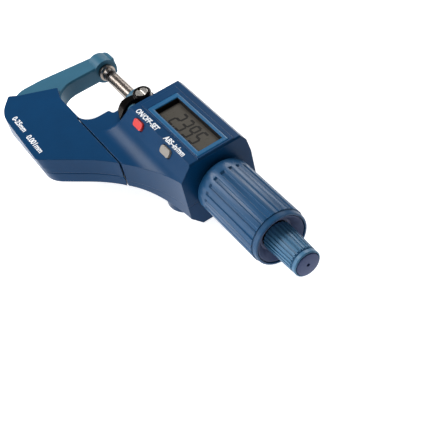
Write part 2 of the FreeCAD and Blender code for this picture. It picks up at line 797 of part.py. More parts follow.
ratchet_clutch = new_body("ratchet_clutch")
turn(
    ratchet_clutch,
    disc("core_end", "core_end + clutch_thick - 0.6", "knob_base_dia - 0.6", "ratchet_shank_dia"),
)
tooth = pad(
    ratchet_clutch,
    "YZ_Plane",
    [
        ("ratchet_shank_dia / 2 + 1.2", "-0.5"),
        ("knob_base_dia / 2 - 0.6", "-1.1"),
        ("knob_base_dia / 2 - 0.6", "0.2"),
        ("ratchet_shank_dia / 2 + 1.2", "0.2"),
    ],
    "core_end + clutch_thick - 0.9",
    "0.9",
)
repeat_round(ratchet_clutch, tooth, "clutch_teeth")
place(ratchet_clutch, "reading")

ratchet_knob = new_body("ratchet_knob")
turn(
    ratchet_knob,
    [
        ("knob_start", "ratchet_shank_dia / 2 + shaft_gap"),
        ("knob_start", "knob_base_dia / 2 - 0.4"),
        ("knob_end - 2.9", "knob_end_dia / 2 - 0.35"),
        ("knob_end - 2.7", "knob_end_dia / 2 - 0.8"),
        ("knob_end - 2.2", "knob_end_dia / 2 - 0.8"),
        ("knob_end - 1.9", "knob_end_dia / 2"),
        ("knob_end - 0.3", "knob_end_dia / 2"),
        ("knob_end", "knob_end_dia / 2 - 0.3"),
        ("knob_end", "cap_bore / 2"),
        ("cap_seat", "cap_bore / 2"),
        ("cap_seat", "knob_bore / 2"),
        ("knob_start + knob_hub", "knob_bore / 2"),
        ("knob_start + knob_hub", "ratchet_shank_dia / 2 + shaft_gap"),
    ],
)
knob_rib = pad(
    ratchet_knob,
    "XZ_Plane",
    [
        ("knob_start + 0.2", "knob_base_dia / 2 - 0.8"),
        ("knob_start + 0.2", "knob_base_dia / 2"),
        ("knob_end - 3.1", "knob_end_dia / 2 + 0.05"),
        ("knob_end - 3.1", "knob_end_dia / 2 - 0.8"),
    ],
    "-knob_rib_width / 2",
    "knob_rib_width",
)
repeat_round(ratchet_knob, knob_rib, "knob_rib_count")
place(ratchet_knob, "reading")

ratchet_cap = turned(
    "ratchet_cap",
    [
        ("cap_seat", "0"),
        ("cap_seat", "cap_bore / 2 - seat_gap"),
        ("knob_end + 0.2", "cap_bore / 2 - seat_gap"),
        ("knob_end + 0.5", "cap_bore / 2 - 0.35"),
        ("knob_end + 0.5", "0.5"),
        ("knob_end - 0.2", "0.5"),
        ("knob_end - 0.2", "0"),
    ],
    "reading",
)
ratchet_spring = turned(
    "ratchet_spring",
    disc(
        "knob_start + knob_hub",
        "screw_seat - run_gap",
        "ratchet_shank_dia + 3",
        "ratchet_shank_dia + 1",
    ),
    "reading",
)
ratchet_screw = turned(
    "ratchet_screw",
    [
        ("core_end - 8.8", "0"),
        ("core_end - 8.8", "ratchet_shank_dia / 2 - seat_gap"),
        ("screw_seat", "ratchet_shank_dia / 2 - seat_gap"),
        ("screw_seat", "knob_bore / 2 - 0.8"),
        ("screw_seat + 2", "knob_bore / 2 - 0.8"),
        ("screw_seat + 2", "0"),
    ],
    "reading",
)

# Grip outline shared by the covers and the housing, and the cross sections that the
# two mouldings of the housing are shaped to

grip_outline = outline(
    "grip_outline",
    "XY",
    [
        ("-cover_left", "-throat_depth - 14.2", "0.5"),
        ("-cover_left - 3.4", "-heel_y", "1"),
        ("-cover_left + 7.1", "-cover_bottom + 1.4", "heel_round"),
        ("cover_flat_right", "-cover_bottom", "3"),
        ("belly_x", "-belly_y", "belly_round"),
        ("block_right", "-end_near"),
        ("block_right", "side_top"),
        ("block_left - 6.5", "side_top", "3"),
        ("block_left - 6.5", "-boss_dia / 2 - 0.6", "1"),
        ("throat_side + 2.9", "-boss_dia / 2 - 0.6", "1"),
        ("throat_side + 2.9", "-boss_dia / 2 - 7", "1"),
        ("throat_side", "-boss_dia / 2 - 7.8", "0.8"),
        ("throat_side", "-throat_lip", "throat_side_round"),
        ("throat_side - 25.5", "-throat_lip", "10"),
        ("-cover_slant_x", "-cover_slant_y", "0.8"),
    ],
)
cross_outline = outline(
    "cross_outline",
    "YZ",
    [
        ("-face_near", "face_z"),
        ("-face_near - slope_run", "cover_face", "cove_round"),
        ("-cover_bottom", "cover_face"),
        ("-cover_bottom + cover_lean", "-cover_back"),
        ("-face_near - slope_run", "-cover_back", "cove_round"),
        ("-back_half", "-back_z"),
        ("side_top - 3", "-back_z"),
        ("side_top", "-back_z + 4"),
        ("side_top", "cover_face"),
        ("side_top - 1.1", "face_z - 3.4"),
        ("face_top", "face_z"),
    ],
)
length_outline = outline(
    "length_outline",
    "XZ",
    [
        ("block_right", "-back_z"),
        ("block_right", "face_z - 0.6"),
        ("block_right - 0.6", "face_z"),
        ("block_left", "face_z"),
        ("block_left - lean_run", "cover_face", "5"),
        ("-bow_left - 10", "cover_face"),
        ("-bow_left - 10", "-cover_back"),
        ("block_left - 3", "-cover_back", "3"),
        ("block_left", "-back_z"),
    ],
)
moulding = common(
    "moulding",
    extrude("grip_solid", grip_outline, "-back_z", "face_z"),
    extrude("cross_solid", cross_outline, "-bow_left - 9", "block_right + 1"),
    extrude("length_solid", length_outline, "-side_top - 1", "cover_bottom + 9"),
)
hollow = common(
    "hollow",
    extrude(
        "grip_hollow", inset("grip_inset", grip_outline, "shell_wall"), "-back_z", "face_z"
    ),
    extrude(
        "cross_hollow",
        inset("cross_inset", cross_outline, "shell_wall"),
        "-bow_left - 9",
        "block_right + 1",
    ),
    extrude(
        "length_hollow",
        inset("length_inset", length_outline, "shell_wall"),
        "-side_top - 1",
        "cover_bottom + 9",
    ),
)
shell = cut("shell", moulding, hollow)
bow_room = extrude(
    "bow_room",
    inset("bow_inset", frame_outline, "-bow_clear"),
    "-frame_thick / 2 - 0.2",
    "frame_thick / 2 + 0.2",
)
boss_hole = bar("boss_hole", "throat_width", "boss_right + 1", "boss_dia + 2 * boss_room")
barrel_hole = bar("barrel_hole", "block_right - 5", "block_right + 1", "barrel_dia + 2 * boss_room")
far_left = "-bow_left - 8"
far_down = "-cover_bottom - 8"
cover_top = "-throat_depth - grip_gap / 2"
housing_low = "-throat_depth + grip_gap / 2"


def cover_part(label, low_z, high_z):
    """The part of the mouldings that belongs to one cover."""
    under = block(label + "_under", (far_left, far_down, low_z), ("belly_x", cover_top, high_z))
    beside = block(label + "_beside", (far_left, far_down, low_z), ("lip_end - 0.3", "0", high_z))
    return common(label, shell, fuse(label + "_zone", under, beside))


front_cover = cut(
    "front_cover",
    fuse(
        "front_cover_solid",
        cut("front_cover_skin", cover_part("front_cover_shell", "-cover_seam", "cover_face"), bow_room),
        posts["heel_screw"],
        posts["belly_screw"],
    ),
    fuse("front_cover_holes", screw_holes["heel_screw"], screw_holes["belly_screw"]),
)
back_cover = cut(
    "back_cover",
    cover_part("back_cover_shell", "-cover_back", "-cover_seam"),
    fuse("back_cover_holes", bow_room, screw_holes["heel_screw"], screw_holes["belly_screw"]),
)

# Housing: two mouldings over the right part of the bow, with the display in front and
# the battery behind

HOUSING_POSTS = ("corner_screw", "end_screw", "lip_screw", "web_screw")
bow_cuts = fuse("bow_cuts", bow_room, boss_hole, barrel_hole)


def housing_part(label, low_z, high_z):
    """The part of the mouldings that belongs to one half of the housing."""
    high = ("block_right + 1", "side_top + 1", high_z)
    zone = block(label + "_zone", ("lip_end", housing_low, low_z), high)
    return cut(label + "_skin", common(label + "_shell", shell, zone), bow_cuts)


def on_slope(thing, x):
    """Put a piece on the button slope, its own Z pointing out of it."""
    thing.Placement = FreeCAD.Placement(
        FreeCAD.Vector(), FreeCAD.Rotation(FreeCAD.Vector(1, 0, 0), number("slope_angle"))
    )
    thing.setExpression("Placement.Rotation.Angle", cells("slope_angle"))
    along = "-face_near - button_down * cos(slope_angle)"
    return place(thing, x, along, "face_z - button_down * sin(slope_angle)")


def soft_rectangle(length, width, radius):
    sides = rectangle(f"-({length}) / 2", f"({length}) / 2", f"-({width}) / 2", f"({width}) / 2")
    return [side + (radius,) for side in sides]


def button_slot(label, x):
    slot = new_body(label)
    hole = soft_rectangle("button_length + 2 * button_slack", "button_width + 2 * button_slack", "1.4")
    pad(slot, "XY_Plane", hole, "-shell_wall - 1", "shell_wall + 2")
    return on_slope(slot, x)


def button(label, x):
    piece = new_body(label)
    flange = "button_length + 2 * flange_reach"
    outline_behind = soft_rectangle(flange, "button_width", "0.8")
    pad(piece, "XY_Plane", outline_behind, "-shell_wall - run_gap - flange_thick", "flange_thick")
    key = soft_rectangle("button_length", "button_width", "1.2")
    pad(piece, "XY_Plane", key, "-shell_wall - run_gap - 0.1", "shell_wall + run_gap + 0.1 + button_proud")
    return on_slope(piece, x)


plateau_field = block(
    "plateau_field",
    ("block_left + plateau_rim + 1", "-bezel_low - 0.6", "face_z - 0.2"),
    ("block_right - plateau_rim / 3", "bezel_high + plateau_rim", "face_z + plateau"),
)
front_openings = fuse(
    "front_openings",
    block(
        "bezel_bed",
        ("bezel_left", "-bezel_low", "bezel_seat"),
        ("bezel_right", "bezel_high", "face_z + 1"),
    ),
    block(
        "display_hole",
        ("window_left - 0.8", "-window_low - 0.6", "face_z - shell_wall - 1"),
        ("window_right + 0.6", "window_high + 0.6", "face_z"),
    ),
    button_slot("on_slot", "on_button_x"),
    button_slot("mode_slot", "mode_button_x"),
)
housing_front = cut(
    "housing_front",
    fuse(
        "housing_front_solid",
        housing_part("housing_front", "-housing_seam", "face_z + 1"),
        plateau_field,
        *[posts[name] for name in HOUSING_POSTS],
    ),
    fuse("housing_front_holes", front_openings, *[screw_holes[name] for name in HOUSING_POSTS]),
)

bulge_low = "-back_z"
bulge = post("bulge", "battery_x", "-battery_y", bulge_low, "cell_top + 1.2", "bulge_dia")


def around_battery(label, low, high, dia):
    return post(label, "battery_x", "-battery_y", low, high, dia)


battery_room = fuse(
    "battery_room",
    around_battery("cap_hole", "-back_z - 1", "cap_ceiling", "cap_dia + 2 * run_gap"),
    around_battery("cell_hole", "-back_z", "cell_top", "battery_dia + 2 * run_gap"),
    around_battery(
        "lug_groove", "lug_low - run_gap", "cap_ceiling", "cap_dia + 2 * lug_reach + 2 * run_gap"
    ),
    block(
        "lug_gate",
        ("battery_x - 2", "-battery_y - cap_dia / 2 - lug_reach - run_gap", "-back_z - 1"),
        ("battery_x + 2", "-battery_y + cap_dia / 2 + lug_reach + run_gap", "cap_ceiling"),
    ),
)
housing_back = cut(
    "housing_back",
    fuse(
        "housing_back_solid",
        housing_part("housing_back", "-back_z - 1", "-housing_seam"),
        bulge,
    ),
    fuse(
        "housing_back_holes",
        battery_room,
        bar(
            "sleeve_boss_room",
            "sleeve_boss_left - run_gap",
            "bow_right + run_gap",
            "sleeve_boss_dia + 2 * run_gap",
        ),
        *[screw_holes[name] for name in HOUSING_POSTS],
    ),
)

# Battery, its contacts and its cap with a coin slot and two bayonet lugs

battery_cell = turned(
    "battery_cell",
    [
        ("0", "0"),
        ("0", "battery_dia / 2 - 0.6"),
        ("0.5", "battery_dia / 2 - 0.6"),
        ("0.5", "battery_dia / 2"),
        ("battery_thick", "battery_dia / 2"),
        ("battery_thick", "0"),
    ],
    "battery_x",
    "-battery_y",
    "cap_ceiling - 0.1",
    -90,
)
battery_contacts = doc.addObject("Part::Compound", "battery_contacts")
battery_contacts.Links = [
    around_battery("contact_plate", "cell_top - 0.15", "cell_top", "battery_dia - 3"),
    block(
        "contact_side",
        ("battery_x - 0.9", "-battery_y + battery_dia / 2 + 0.05", "cap_ceiling + 0.5"),
        ("battery_x + 0.9", "-battery_y + battery_dia / 2 + 0.2", "cell_top - 0.5"),
    ),
]
cap_disc = around_battery("cap_disc", "-back_z + cap_sunk", "-back_z + cap_sunk + cap_thick", "cap_dia")
cap_lugs = common(
    "cap_lugs",
    around_battery("lug_round", "lug_low", "-back_z + cap_sunk + cap_thick", "cap_dia + 2 * lug_reach"),
    block(
        "lug_bar",
        ("battery_x - cap_dia / 2 - lug_reach", "-battery_y - 1.7", "lug_low"),
        ("battery_x + cap_dia / 2 + lug_reach", "-battery_y + 1.7", "-back_z + cap_sunk + cap_thick"),
    ),
)
cap_slot = block(
    "cap_slot",
    ("battery_x - 4.5", "-battery_y - coin_slot / 2", "-back_z"),
    ("battery_x + 4.5", "-battery_y + coin_slot / 2", "-back_z + cap_sunk + 0.8"),
)
battery_cap = cut("battery_cap", fuse("cap_solid", cap_disc, cap_lugs), cap_slot)

# Display: bezel, glass, contact strips and circuit board; buttons over a rubber strip

display_bezel = cut(
    "display_bezel",
    block(
        "bezel_plate",
        ("bezel_left + seat_gap", "-bezel_low + seat_gap", "bezel_seat"),
        ("bezel_right - seat_gap", "bezel_high - seat_gap", "bezel_seat + bezel_thick"),
    ),
    block(
        "bezel_window",
        ("window_left", "-window_low", "face_z - 2"),
        ("window_right", "window_high", "face_z + 2"),
    ),
)
lcd_panel = block(
    "lcd_panel",
    ("window_left - glass_margin", "-window_low - glass_margin", "glass_top - glass_thick"),
    ("window_right + glass_margin", "window_high + glass_margin", "glass_top"),
)
contact_strips = doc.addObject("Part::Compound", "contact_strips")
contact_strips.Links = [
    block(
        "near_strip",
        ("window_left", "-window_low - glass_margin", "board_top"),
        ("window_right", "-window_low - glass_margin + strip_width", "glass_top - glass_thick"),
    ),
    block(
        "far_strip",
        ("window_left", "window_high + glass_margin - strip_width", "board_top"),
        ("window_right", "window_high + glass_margin", "glass_top - glass_thick"),
    ),
]
strip_corner = "-face_near - 0.2"
button_pad = new_body("button_pad")
pad(
    button_pad,
    "YZ_Plane",
    [
        (strip_corner, "board_top"),
        (strip_corner + " + 3.4", "board_top"),
        (strip_corner + " + 3.4", "face_z - 4.9 + 2 * tan(slope_angle)"),
        (strip_corner + " + 2", "face_z - 4.9 + 2 * tan(slope_angle)"),
        (strip_corner, "face_z - 4.9"),
    ],
    "on_button_x - button_length / 2 - 1",
    "mode_button_x - on_button_x + button_length + 2",
)
circuit_board = block(
    "circuit_board",
    ("bezel_left - 4.5", "-face_near - 0.4", "board_z"),
    ("block_right - 2.4", "window_high + glass_margin", "board_top"),
)
on_button = button("on_button", "on_button_x")
mode_button = button("mode_button", "mode_button_x")

# Lock: a pin in the spindle boss, turned by a swept lever under a slotted screw

lever_plan = outline(
    "lever_plan",
    "XY",
    [
        ("lock_x - 1.9", "-hub_dia / 3"),
        ("lock_x - 4.2", "-lever_reach + 7.2", "lever_round"),
        ("lock_x - 0.9", "-lever_reach + 2.5", "lever_round"),
        ("lock_x + 4.7", "-lever_reach + 0.3", "0.4"),
        ("lock_x + 4.2", "-lever_reach + 1.6", "0.4"),
        ("lock_x + 1.6", "-lever_reach + 5.6", "lever_bend"),
        ("lock_x + 0.5", "-hub_dia / 2 - 2.4", "lever_bend"),
        ("lock_x + 1.4", "-hub_dia / 3"),
    ],
)
lever_side = outline(
    "lever_side",
    "YZ",
    [
        ("1", "lever_low"),
        ("1", "hub_top - lever_drop"),
        ("-3.5", "hub_top - lever_drop"),
        ("-lever_reach + 5", "hub_top - lever_drop - 1.4", "12"),
        ("-lever_reach", "hub_top - lever_drop - 3.2"),
        ("-lever_reach", "cover_face + 0.4"),
        ("-lever_reach + 3.8", "cover_face + 0.6"),
        ("-boss_dia / 2 - 0.3", "lever_low"),
    ],
)
lever_arm = common(
    "lever_arm",
    extrude("lever_plan_solid", lever_plan, "cover_face", "hub_top + 1"),
    extrude("lever_side_solid", lever_side, "lock_x - 10", "lock_x + 10"),
)
lever_hub = turned(
    "lever_hub",
    [
        ("0", "0"),
        ("0", "hub_dia / 2"),
        ("hub_top - lock_seat - lock_washer_thick - run_gap - 0.5", "hub_dia / 2"),
        ("hub_top - lock_seat - lock_washer_thick - run_gap", "hub_dia / 2 - 0.5"),
        ("hub_top - lock_seat - lock_washer_thick - run_gap", "0"),
    ],
    "lock_x",
    "0",
    "lever_low",
    -90,
)
screw_floor = "hub_top - 1.4"
lock_lever = cut(
    "lock_lever",
    fuse("lever_solid", lever_arm, lever_hub),
    fuse(
        "lever_holes",
        post("lever_recess", "lock_x", "0", screw_floor, "hub_top + 1", "hub_dia - 2"),
        post("lever_screw_hole", "lock_x", "0", "0", "hub_top", "2.6"),
        post("lever_pin_hole", "lock_x", "0", "0", "lever_low + 1", "lock_pin_dia + 2 * seat_gap"),
    ),
)
lock_pin = cut(
    "lock_pin",
    post("pin_rod", "lock_x", "0", "spindle_dia / 2 + run_gap", "lever_low + 1", "lock_pin_dia"),
    post("pin_thread", "lock_x", "0", "lever_low - 2.4", "hub_top", "2.2 + 2 * seat_gap"),
)
lock_screw = cut(
    "lock_screw",
    fuse(
        "lock_screw_solid",
        post("lock_screw_head", "lock_x", "0", screw_floor, "hub_top - 0.2", "hub_dia - 3"),
        post("lock_screw_shank", "lock_x", "0", "lever_low - 2", screw_floor, "2.2"),
    ),
    block(
        "lock_screw_slot",
        ("lock_x - hub_dia", "-slot_width / 2", "hub_top - 0.9"),
        ("lock_x + hub_dia", "slot_width / 2", "hub_top"),
    ),
)
lock_washer = cut(
    "lock_washer",
    post("washer_disc", "lock_x", "0", "lock_seat", "lock_seat + lock_washer_thick", "lock_washer_dia"),
    post("washer_hole", "lock_x", "0", "lock_seat - 1", "hub_top", "lock_pin_dia + 0.6"),
)

# Files: every piece is checked and written

NODES = (
    frame,
    anvil,
    anvil_tip,
    inner_sleeve,
    spindle_nut,
    adjusting_nut,
    barrel,
    encoder_stator,
    encoder_rotor,
    rotor_bush,
    spindle,
    spindle_tip,
    thimble_core,
    thimble,
    ratchet_clutch,
    ratchet_screw,
    ratchet_knob,
    ratchet_spring,
    ratchet_cap,
    lock_lever,
    lock_screw,
    lock_pin,
    lock_washer,
    front_cover,
    back_cover,
    housing_front,
    housing_back,
    case_screws,
    display_bezel,
    lcd_panel,
    contact_strips,
    circuit_board,
    button_pad,
    on_button,
    mode_button,
    battery_cell,
    battery_contacts,
    battery_cap,
)
doc.recompute()
for thing in doc.Objects:
    if "Invalid" in thing.State or "Error" in thing.State:
        raise RuntimeError(f"{thing.Name} does not build: {thing.State}")
os.makedirs("parts", exist_ok=True)
for node in NODES:
    if node.Shape.isNull() or not node.Shape.isValid() or not node.Shape.Solids:
        raise RuntimeError(f"{node.Label} is not a sound solid")
    node.Shape.exportStep(os.path.join("parts", node.Label + ".step"))
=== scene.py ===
import math

import bmesh
import bpy
from mathutils import Matrix, Vector


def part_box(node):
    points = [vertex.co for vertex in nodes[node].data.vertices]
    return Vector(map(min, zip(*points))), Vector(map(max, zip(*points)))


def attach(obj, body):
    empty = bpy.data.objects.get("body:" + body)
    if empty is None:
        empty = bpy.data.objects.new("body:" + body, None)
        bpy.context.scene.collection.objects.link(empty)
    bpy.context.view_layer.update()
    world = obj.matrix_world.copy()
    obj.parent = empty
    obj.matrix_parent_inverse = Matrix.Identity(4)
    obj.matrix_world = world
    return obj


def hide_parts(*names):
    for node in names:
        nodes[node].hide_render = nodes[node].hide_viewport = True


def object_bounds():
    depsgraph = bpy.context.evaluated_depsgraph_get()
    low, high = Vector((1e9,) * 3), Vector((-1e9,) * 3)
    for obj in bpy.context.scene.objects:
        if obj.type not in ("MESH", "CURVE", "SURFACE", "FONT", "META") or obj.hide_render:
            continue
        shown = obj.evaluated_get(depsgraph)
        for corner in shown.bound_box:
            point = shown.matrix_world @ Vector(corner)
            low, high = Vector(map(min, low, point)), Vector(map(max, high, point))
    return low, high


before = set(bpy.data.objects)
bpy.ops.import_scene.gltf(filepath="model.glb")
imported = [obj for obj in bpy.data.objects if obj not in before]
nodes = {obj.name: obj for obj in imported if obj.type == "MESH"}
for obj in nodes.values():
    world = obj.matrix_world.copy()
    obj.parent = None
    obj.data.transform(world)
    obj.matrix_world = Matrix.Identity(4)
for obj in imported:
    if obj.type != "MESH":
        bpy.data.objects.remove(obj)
cad_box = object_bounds()
MM = 0.001

# Studio
# A longish lens looks down from the ratchet's side, rolled so that the tool lies corner
# to corner. Two soft lamps stand over the bow and behind the display, a wide panel lights
# the belly's side, and a small card in front picks out the edges.
CAMERA_PLACE = Vector((0.37546, -0.11944, 0.28837))
AZIMUTH, ELEVATION, ROLL = (math.radians(a) for a in (67.245, 46.258, -14.756))
LENS = 78.485
LAMPS = (
    ("key_lamp", (-0.60, -0.42, 0.68), 0.9, 0.44, 5.7),
    ("rear_lamp", (-0.54, 0.60, 0.56), 0.9, 0.46, 4.4),
    ("side_panel", (-0.35, -0.92, 0.16), 1.0, 0.8, 5.2),
    ("front_card", (0.68, -0.72, 0.16), 0.9, 0.22, 0.7),
)
LAMPS_AIM = Vector((0.06, -0.01, 0))
WORLD_LEVEL = 0.2
FLOOR_COLOUR = (0.8, 0.8, 0.81, 1)
FLOOR_GLOW = 0.35
FLOOR_GLOWS_MORE = (("Is Camera Ray", 0.5), ("Is Glossy Ray", 0.7))
FLOOR_HALF = 3
FLOOR_DROP = 0.0002

scene = bpy.context.scene
back = Vector(
    (
        math.sin(AZIMUTH) * math.cos(ELEVATION),
        -math.cos(AZIMUTH) * math.cos(ELEVATION),
        math.sin(ELEVATION),
    )
)
level = Vector((0, 0, 1)).cross(back).normalized()
upright = back.cross(level)
right = math.cos(ROLL) * level + math.sin(ROLL) * upright
up = -math.sin(ROLL) * level + math.cos(ROLL) * upright
turned_axes = Matrix((right, up, back)).transposed().to_4x4()
camera = bpy.data.objects.new("camera", bpy.data.cameras.new("camera"))
scene.collection.objects.link(camera)
camera.data.lens = LENS
camera.data.sensor_width = 36
camera.data.clip_start = 0.01
camera.matrix_world = Matrix.Translation(CAMERA_PLACE) @ turned_axes
scene.camera = camera
scene.view_settings.view_transform = "Standard"

for name, direction, far, size, power in LAMPS:
    lamp = bpy.data.objects.new(name, bpy.data.lights.new(name, "AREA"))
    scene.collection.objects.link(lamp)
    lamp.data.shape = "DISK"
    lamp.data.size = size
    lamp.data.energy = power
    towards = Vector(direction).normalized()
    lamp.matrix_world = (
        Matrix.Translation(LAMPS_AIM + far * towards)
        @ towards.to_track_quat("Z", "Y").to_matrix().to_4x4()
    )

world = bpy.data.worlds.new("studio")
scene.world = world
world.use_nodes = True
sky = world.node_tree
sky.nodes.clear()
rays = sky.nodes.new("ShaderNodeLightPath")
soft = sky.nodes.new("ShaderNodeBackground")
soft.inputs["Strength"].default_value = WORLD_LEVEL
white = sky.nodes.new("ShaderNodeBackground")
choose = sky.nodes.new("ShaderNodeMixShader")
sky_out = sky.nodes.new("ShaderNodeOutputWorld")
for background in (soft, white):
    background.inputs["Color"].default_value = (1, 1, 1, 1)
sky.links.new(rays.outputs["Is Camera Ray"], choose.inputs[0])
sky.links.new(soft.outputs[0], choose.inputs[1])
sky.links.new(white.outputs[0], choose.inputs[2])
sky.links.new(choose.outputs[0], sky_out.inputs["Surface"])


def link_mesh(name, shape, material, smooth_angle=35):
    """Turn a bmesh into an object at the origin with one material and soft shading."""
    mesh = bpy.data.meshes.new(name)
    shape.to_mesh(mesh)
    shape.free()
    mesh.materials.append(material)
    if smooth_angle:
        mesh.shade_smooth()
        mesh.set_sharp_from_angle(angle=math.radians(smooth_angle))
    piece = bpy.data.objects.new(name, mesh)
    scene.collection.objects.link(piece)
    return piece


floor_paint = bpy.data.materials.new("floor_paint")
floor_paint.use_nodes = True
tree = floor_paint.node_tree
tree.nodes.clear()
rays = tree.nodes.new("ShaderNodeLightPath")
matt = tree.nodes.new("ShaderNodeBsdfDiffuse")
matt.inputs["Color"].default_value = FLOOR_COLOUR
glow = tree.nodes.new("ShaderNodeEmission")
seen = tree.nodes.new("ShaderNodeAddShader")
floor_out = tree.nodes.new("ShaderNodeOutputMaterial")
strength = None
for ray, more in FLOOR_GLOWS_MORE:
    step = tree.nodes.new("ShaderNodeMath")
    step.operation = "MULTIPLY_ADD"
    tree.links.new(rays.outputs[ray], step.inputs[0])
    step.inputs[1].default_value = more
    step.inputs[2].default_value = FLOOR_GLOW
    if strength:
        tree.links.new(strength.outputs[0], step.inputs[2])
    strength = step
tree.links.new(strength.outputs[0], glow.inputs["Strength"])
tree.links.new(matt.outputs[0], seen.inputs[0])
tree.links.new(glow.outputs[0], seen.inputs[1])
tree.links.new(seen.outputs[0], floor_out.inputs["Surface"])
floor_shape = bmesh.new()
bmesh.ops.create_grid(
    floor_shape,
    x_segments=1,
    y_segments=1,
    size=FLOOR_HALF,
    matrix=Matrix.Translation((0, 0, cad_box[0][2] - FLOOR_DROP)),
)
floor = link_mesh("floor", floor_shape, floor_paint, 0)


# Bow
# One iron casting, machined in its bores and sprayed grey-blue. The paint lies over the
# cast surface in a fine orange peel and rounds its edges.
BROAD_GRAIN = 90
GLOSSIER, DULLER = 0.06, 0.08
RELIEF = 0.6


def linear(red, green, blue):
    """A colour as a painter names it, turned into the light that it gives back."""
    parts = [part / 255 for part in (red, green, blue)]
    return [p / 12.92 if p < 0.04045 else ((p + 0.055) / 1.055) ** 2.4 for p in parts] + [1]


def new_group(name, inputs, outputs):
    """An empty shader group with named sockets."""
    group = bpy.data.node_groups.new(name, "ShaderNodeTree")
    for socket, kind in inputs:
        group.interface.new_socket(socket, in_out="INPUT", socket_type=kind)
    for socket, kind in outputs:
        group.interface.new_socket(socket, in_out="OUTPUT", socket_type=kind)
    start = group.nodes.new("NodeGroupInput")
    end = group.nodes.new("NodeGroupOutput")
    return group, start, end


COLOUR, VALUE, VECTOR = "NodeSocketColor", "NodeSocketFloat", "NodeSocketVector"
grain, start, end = new_group(
    "surface_grain",
    [
        ("Colour", COLOUR),
        ("Grain", VALUE),
        ("Spread", VALUE),
        ("Gloss", VALUE),
        ("Run", VECTOR),
    ],
    [("Colour", COLOUR), ("Roughness", VALUE), ("Height", VALUE)],
)
where = grain.nodes.new("ShaderNodeTexCoord")
fine = grain.nodes.new("ShaderNodeTexNoise")
fine.inputs["Detail"].default_value = 3
broad = grain.nodes.new("ShaderNodeTexNoise")
broad.inputs["Scale"].default_value = BROAD_GRAIN
broad.inputs["Detail"].default_value = 4
along = grain.nodes.new("ShaderNodeVectorMath")
along.operation = "MULTIPLY"
grain.links.new(where.outputs["Object"], along.inputs[0])
grain.links.new(start.outputs["Run"], along.inputs[1])
grain.links.new(along.outputs[0], fine.inputs["Vector"])
grain.links.new(where.outputs["Object"], broad.inputs["Vector"])
grain.links.new(start.outputs["Grain"], fine.inputs["Scale"])
shade = grain.nodes.new("ShaderNodeMapRange")
grain.links.new(broad.outputs[0], shade.inputs["Value"])
shade.inputs["From Min"].default_value = 0.3
shade.inputs["From Max"].default_value = 0.7
low = grain.nodes.new("ShaderNodeMath")
low.operation = "SUBTRACT"
low.inputs[0].default_value = 1
grain.links.new(start.outputs["Spread"], low.inputs[1])
high = grain.nodes.new("ShaderNodeMath")
high.inputs[0].default_value = 1
grain.links.new(start.outputs["Spread"], high.inputs[1])
grain.links.new(low.outputs[0], shade.inputs["To Min"])
grain.links.new(high.outputs[0], shade.inputs["To Max"])
tint = grain.nodes.new("ShaderNodeVectorMath")
tint.operation = "SCALE"
grain.links.new(start.outputs["Colour"], tint.inputs[0])
grain.links.new(shade.outputs[0], tint.inputs["Scale"])
grain.links.new(tint.outputs[0], end.inputs["Colour"])
dull = grain.nodes.new("ShaderNodeMapRange")
grain.links.new(fine.outputs[0], dull.inputs["Value"])
dull.inputs["From Min"].default_value = 0.2
dull.inputs["From Max"].default_value = 0.8
more = grain.nodes.new("ShaderNodeMath")
more.inputs[1].default_value = DULLER
grain.links.new(start.outputs["Gloss"], more.inputs[0])
less = grain.nodes.new("ShaderNodeMath")
less.operation = "SUBTRACT"
less.inputs[1].default_value = GLOSSIER
grain.links.new(start.outputs["Gloss"], less.inputs[0])
grain.links.new(less.outputs[0], dull.inputs["To Min"])
grain.links.new(more.outputs[0], dull.inputs["To Max"])
grain.links.new(dull.outputs[0], end.inputs["Roughness"])
grain.links.new(fine.outputs[0], end.inputs["Height"])


def finish(
    name,
    colour,
    rough,
    grain_scale,
    depth,
    edge,
    spread=0.05,
    metal=0.0,
    specular=0.5,
    run=(1, 1, 1),
):
    """A surface with fine grain and edges rounded by a small radius in millimetres."""
    material = bpy.data.materials.new(name)
    material.use_nodes = True
    tree = material.node_tree
    shader = tree.nodes["Principled BSDF"]
    shader.inputs["Metallic"].default_value = metal
    shader.inputs["Specular IOR Level"].default_value = specular
    texture = tree.nodes.new("ShaderNodeGroup")
    texture.node_tree = grain
    texture.inputs["Colour"].default_value = linear(*colour)
    texture.inputs["Grain"].default_value = grain_scale
    texture.inputs["Spread"].default_value = spread
    texture.inputs["Gloss"].default_value = rough
    texture.inputs["Run"].default_value = run
    tree.links.new(texture.outputs["Colour"], shader.inputs["Base Color"])
    tree.links.new(texture.outputs["Roughness"], shader.inputs["Roughness"])
    relief = tree.nodes.new("ShaderNodeBump")
    relief.inputs["Strength"].default_value = RELIEF
    relief.inputs["Distance"].default_value = depth * MM
    tree.links.new(texture.outputs["Height"], relief.inputs["Height"])
    if edge:
        rounded = tree.nodes.new("ShaderNodeBevel")
        rounded.samples = 6
        rounded.inputs["Radius"].default_value = edge * MM
        tree.links.new(rounded.outputs[0], relief.inputs["Normal"])
    tree.links.new(relief.outputs[0], shader.inputs["Normal"])
    return material


def dress(names, material):
    """Give CAD pieces their finish."""
    for name in names:
        for place in nodes[name].material_slots:
            place.material = material


frame_paint = finish("frame_paint", (49, 101, 126), 0.38, 2600, 0.02, 0.35, 0.05, 0.0, 0.25)
dress(["frame"], frame_paint)

# Anvil and spindle
# Hardened steel, ground round and lapped bright, with carbide tips that are a shade
# darker. The grinding leaves fine rings round each of them.
RINGS = (1, 0.01, 0.01)
bright_steel = finish("bright_steel", (140, 131, 124), 0.24, 300, 0.0, 0, 0.03, 1.0, run=RINGS)
carbide = finish("carbide", (104, 102, 102), 0.22, 300, 0.0, 0, 0.03, 1.0, run=RINGS)
dress(["anvil", "spindle", "lock_washer", "ratchet_screw"], bright_steel)
dress(["anvil_tip", "spindle_tip"], carbide)

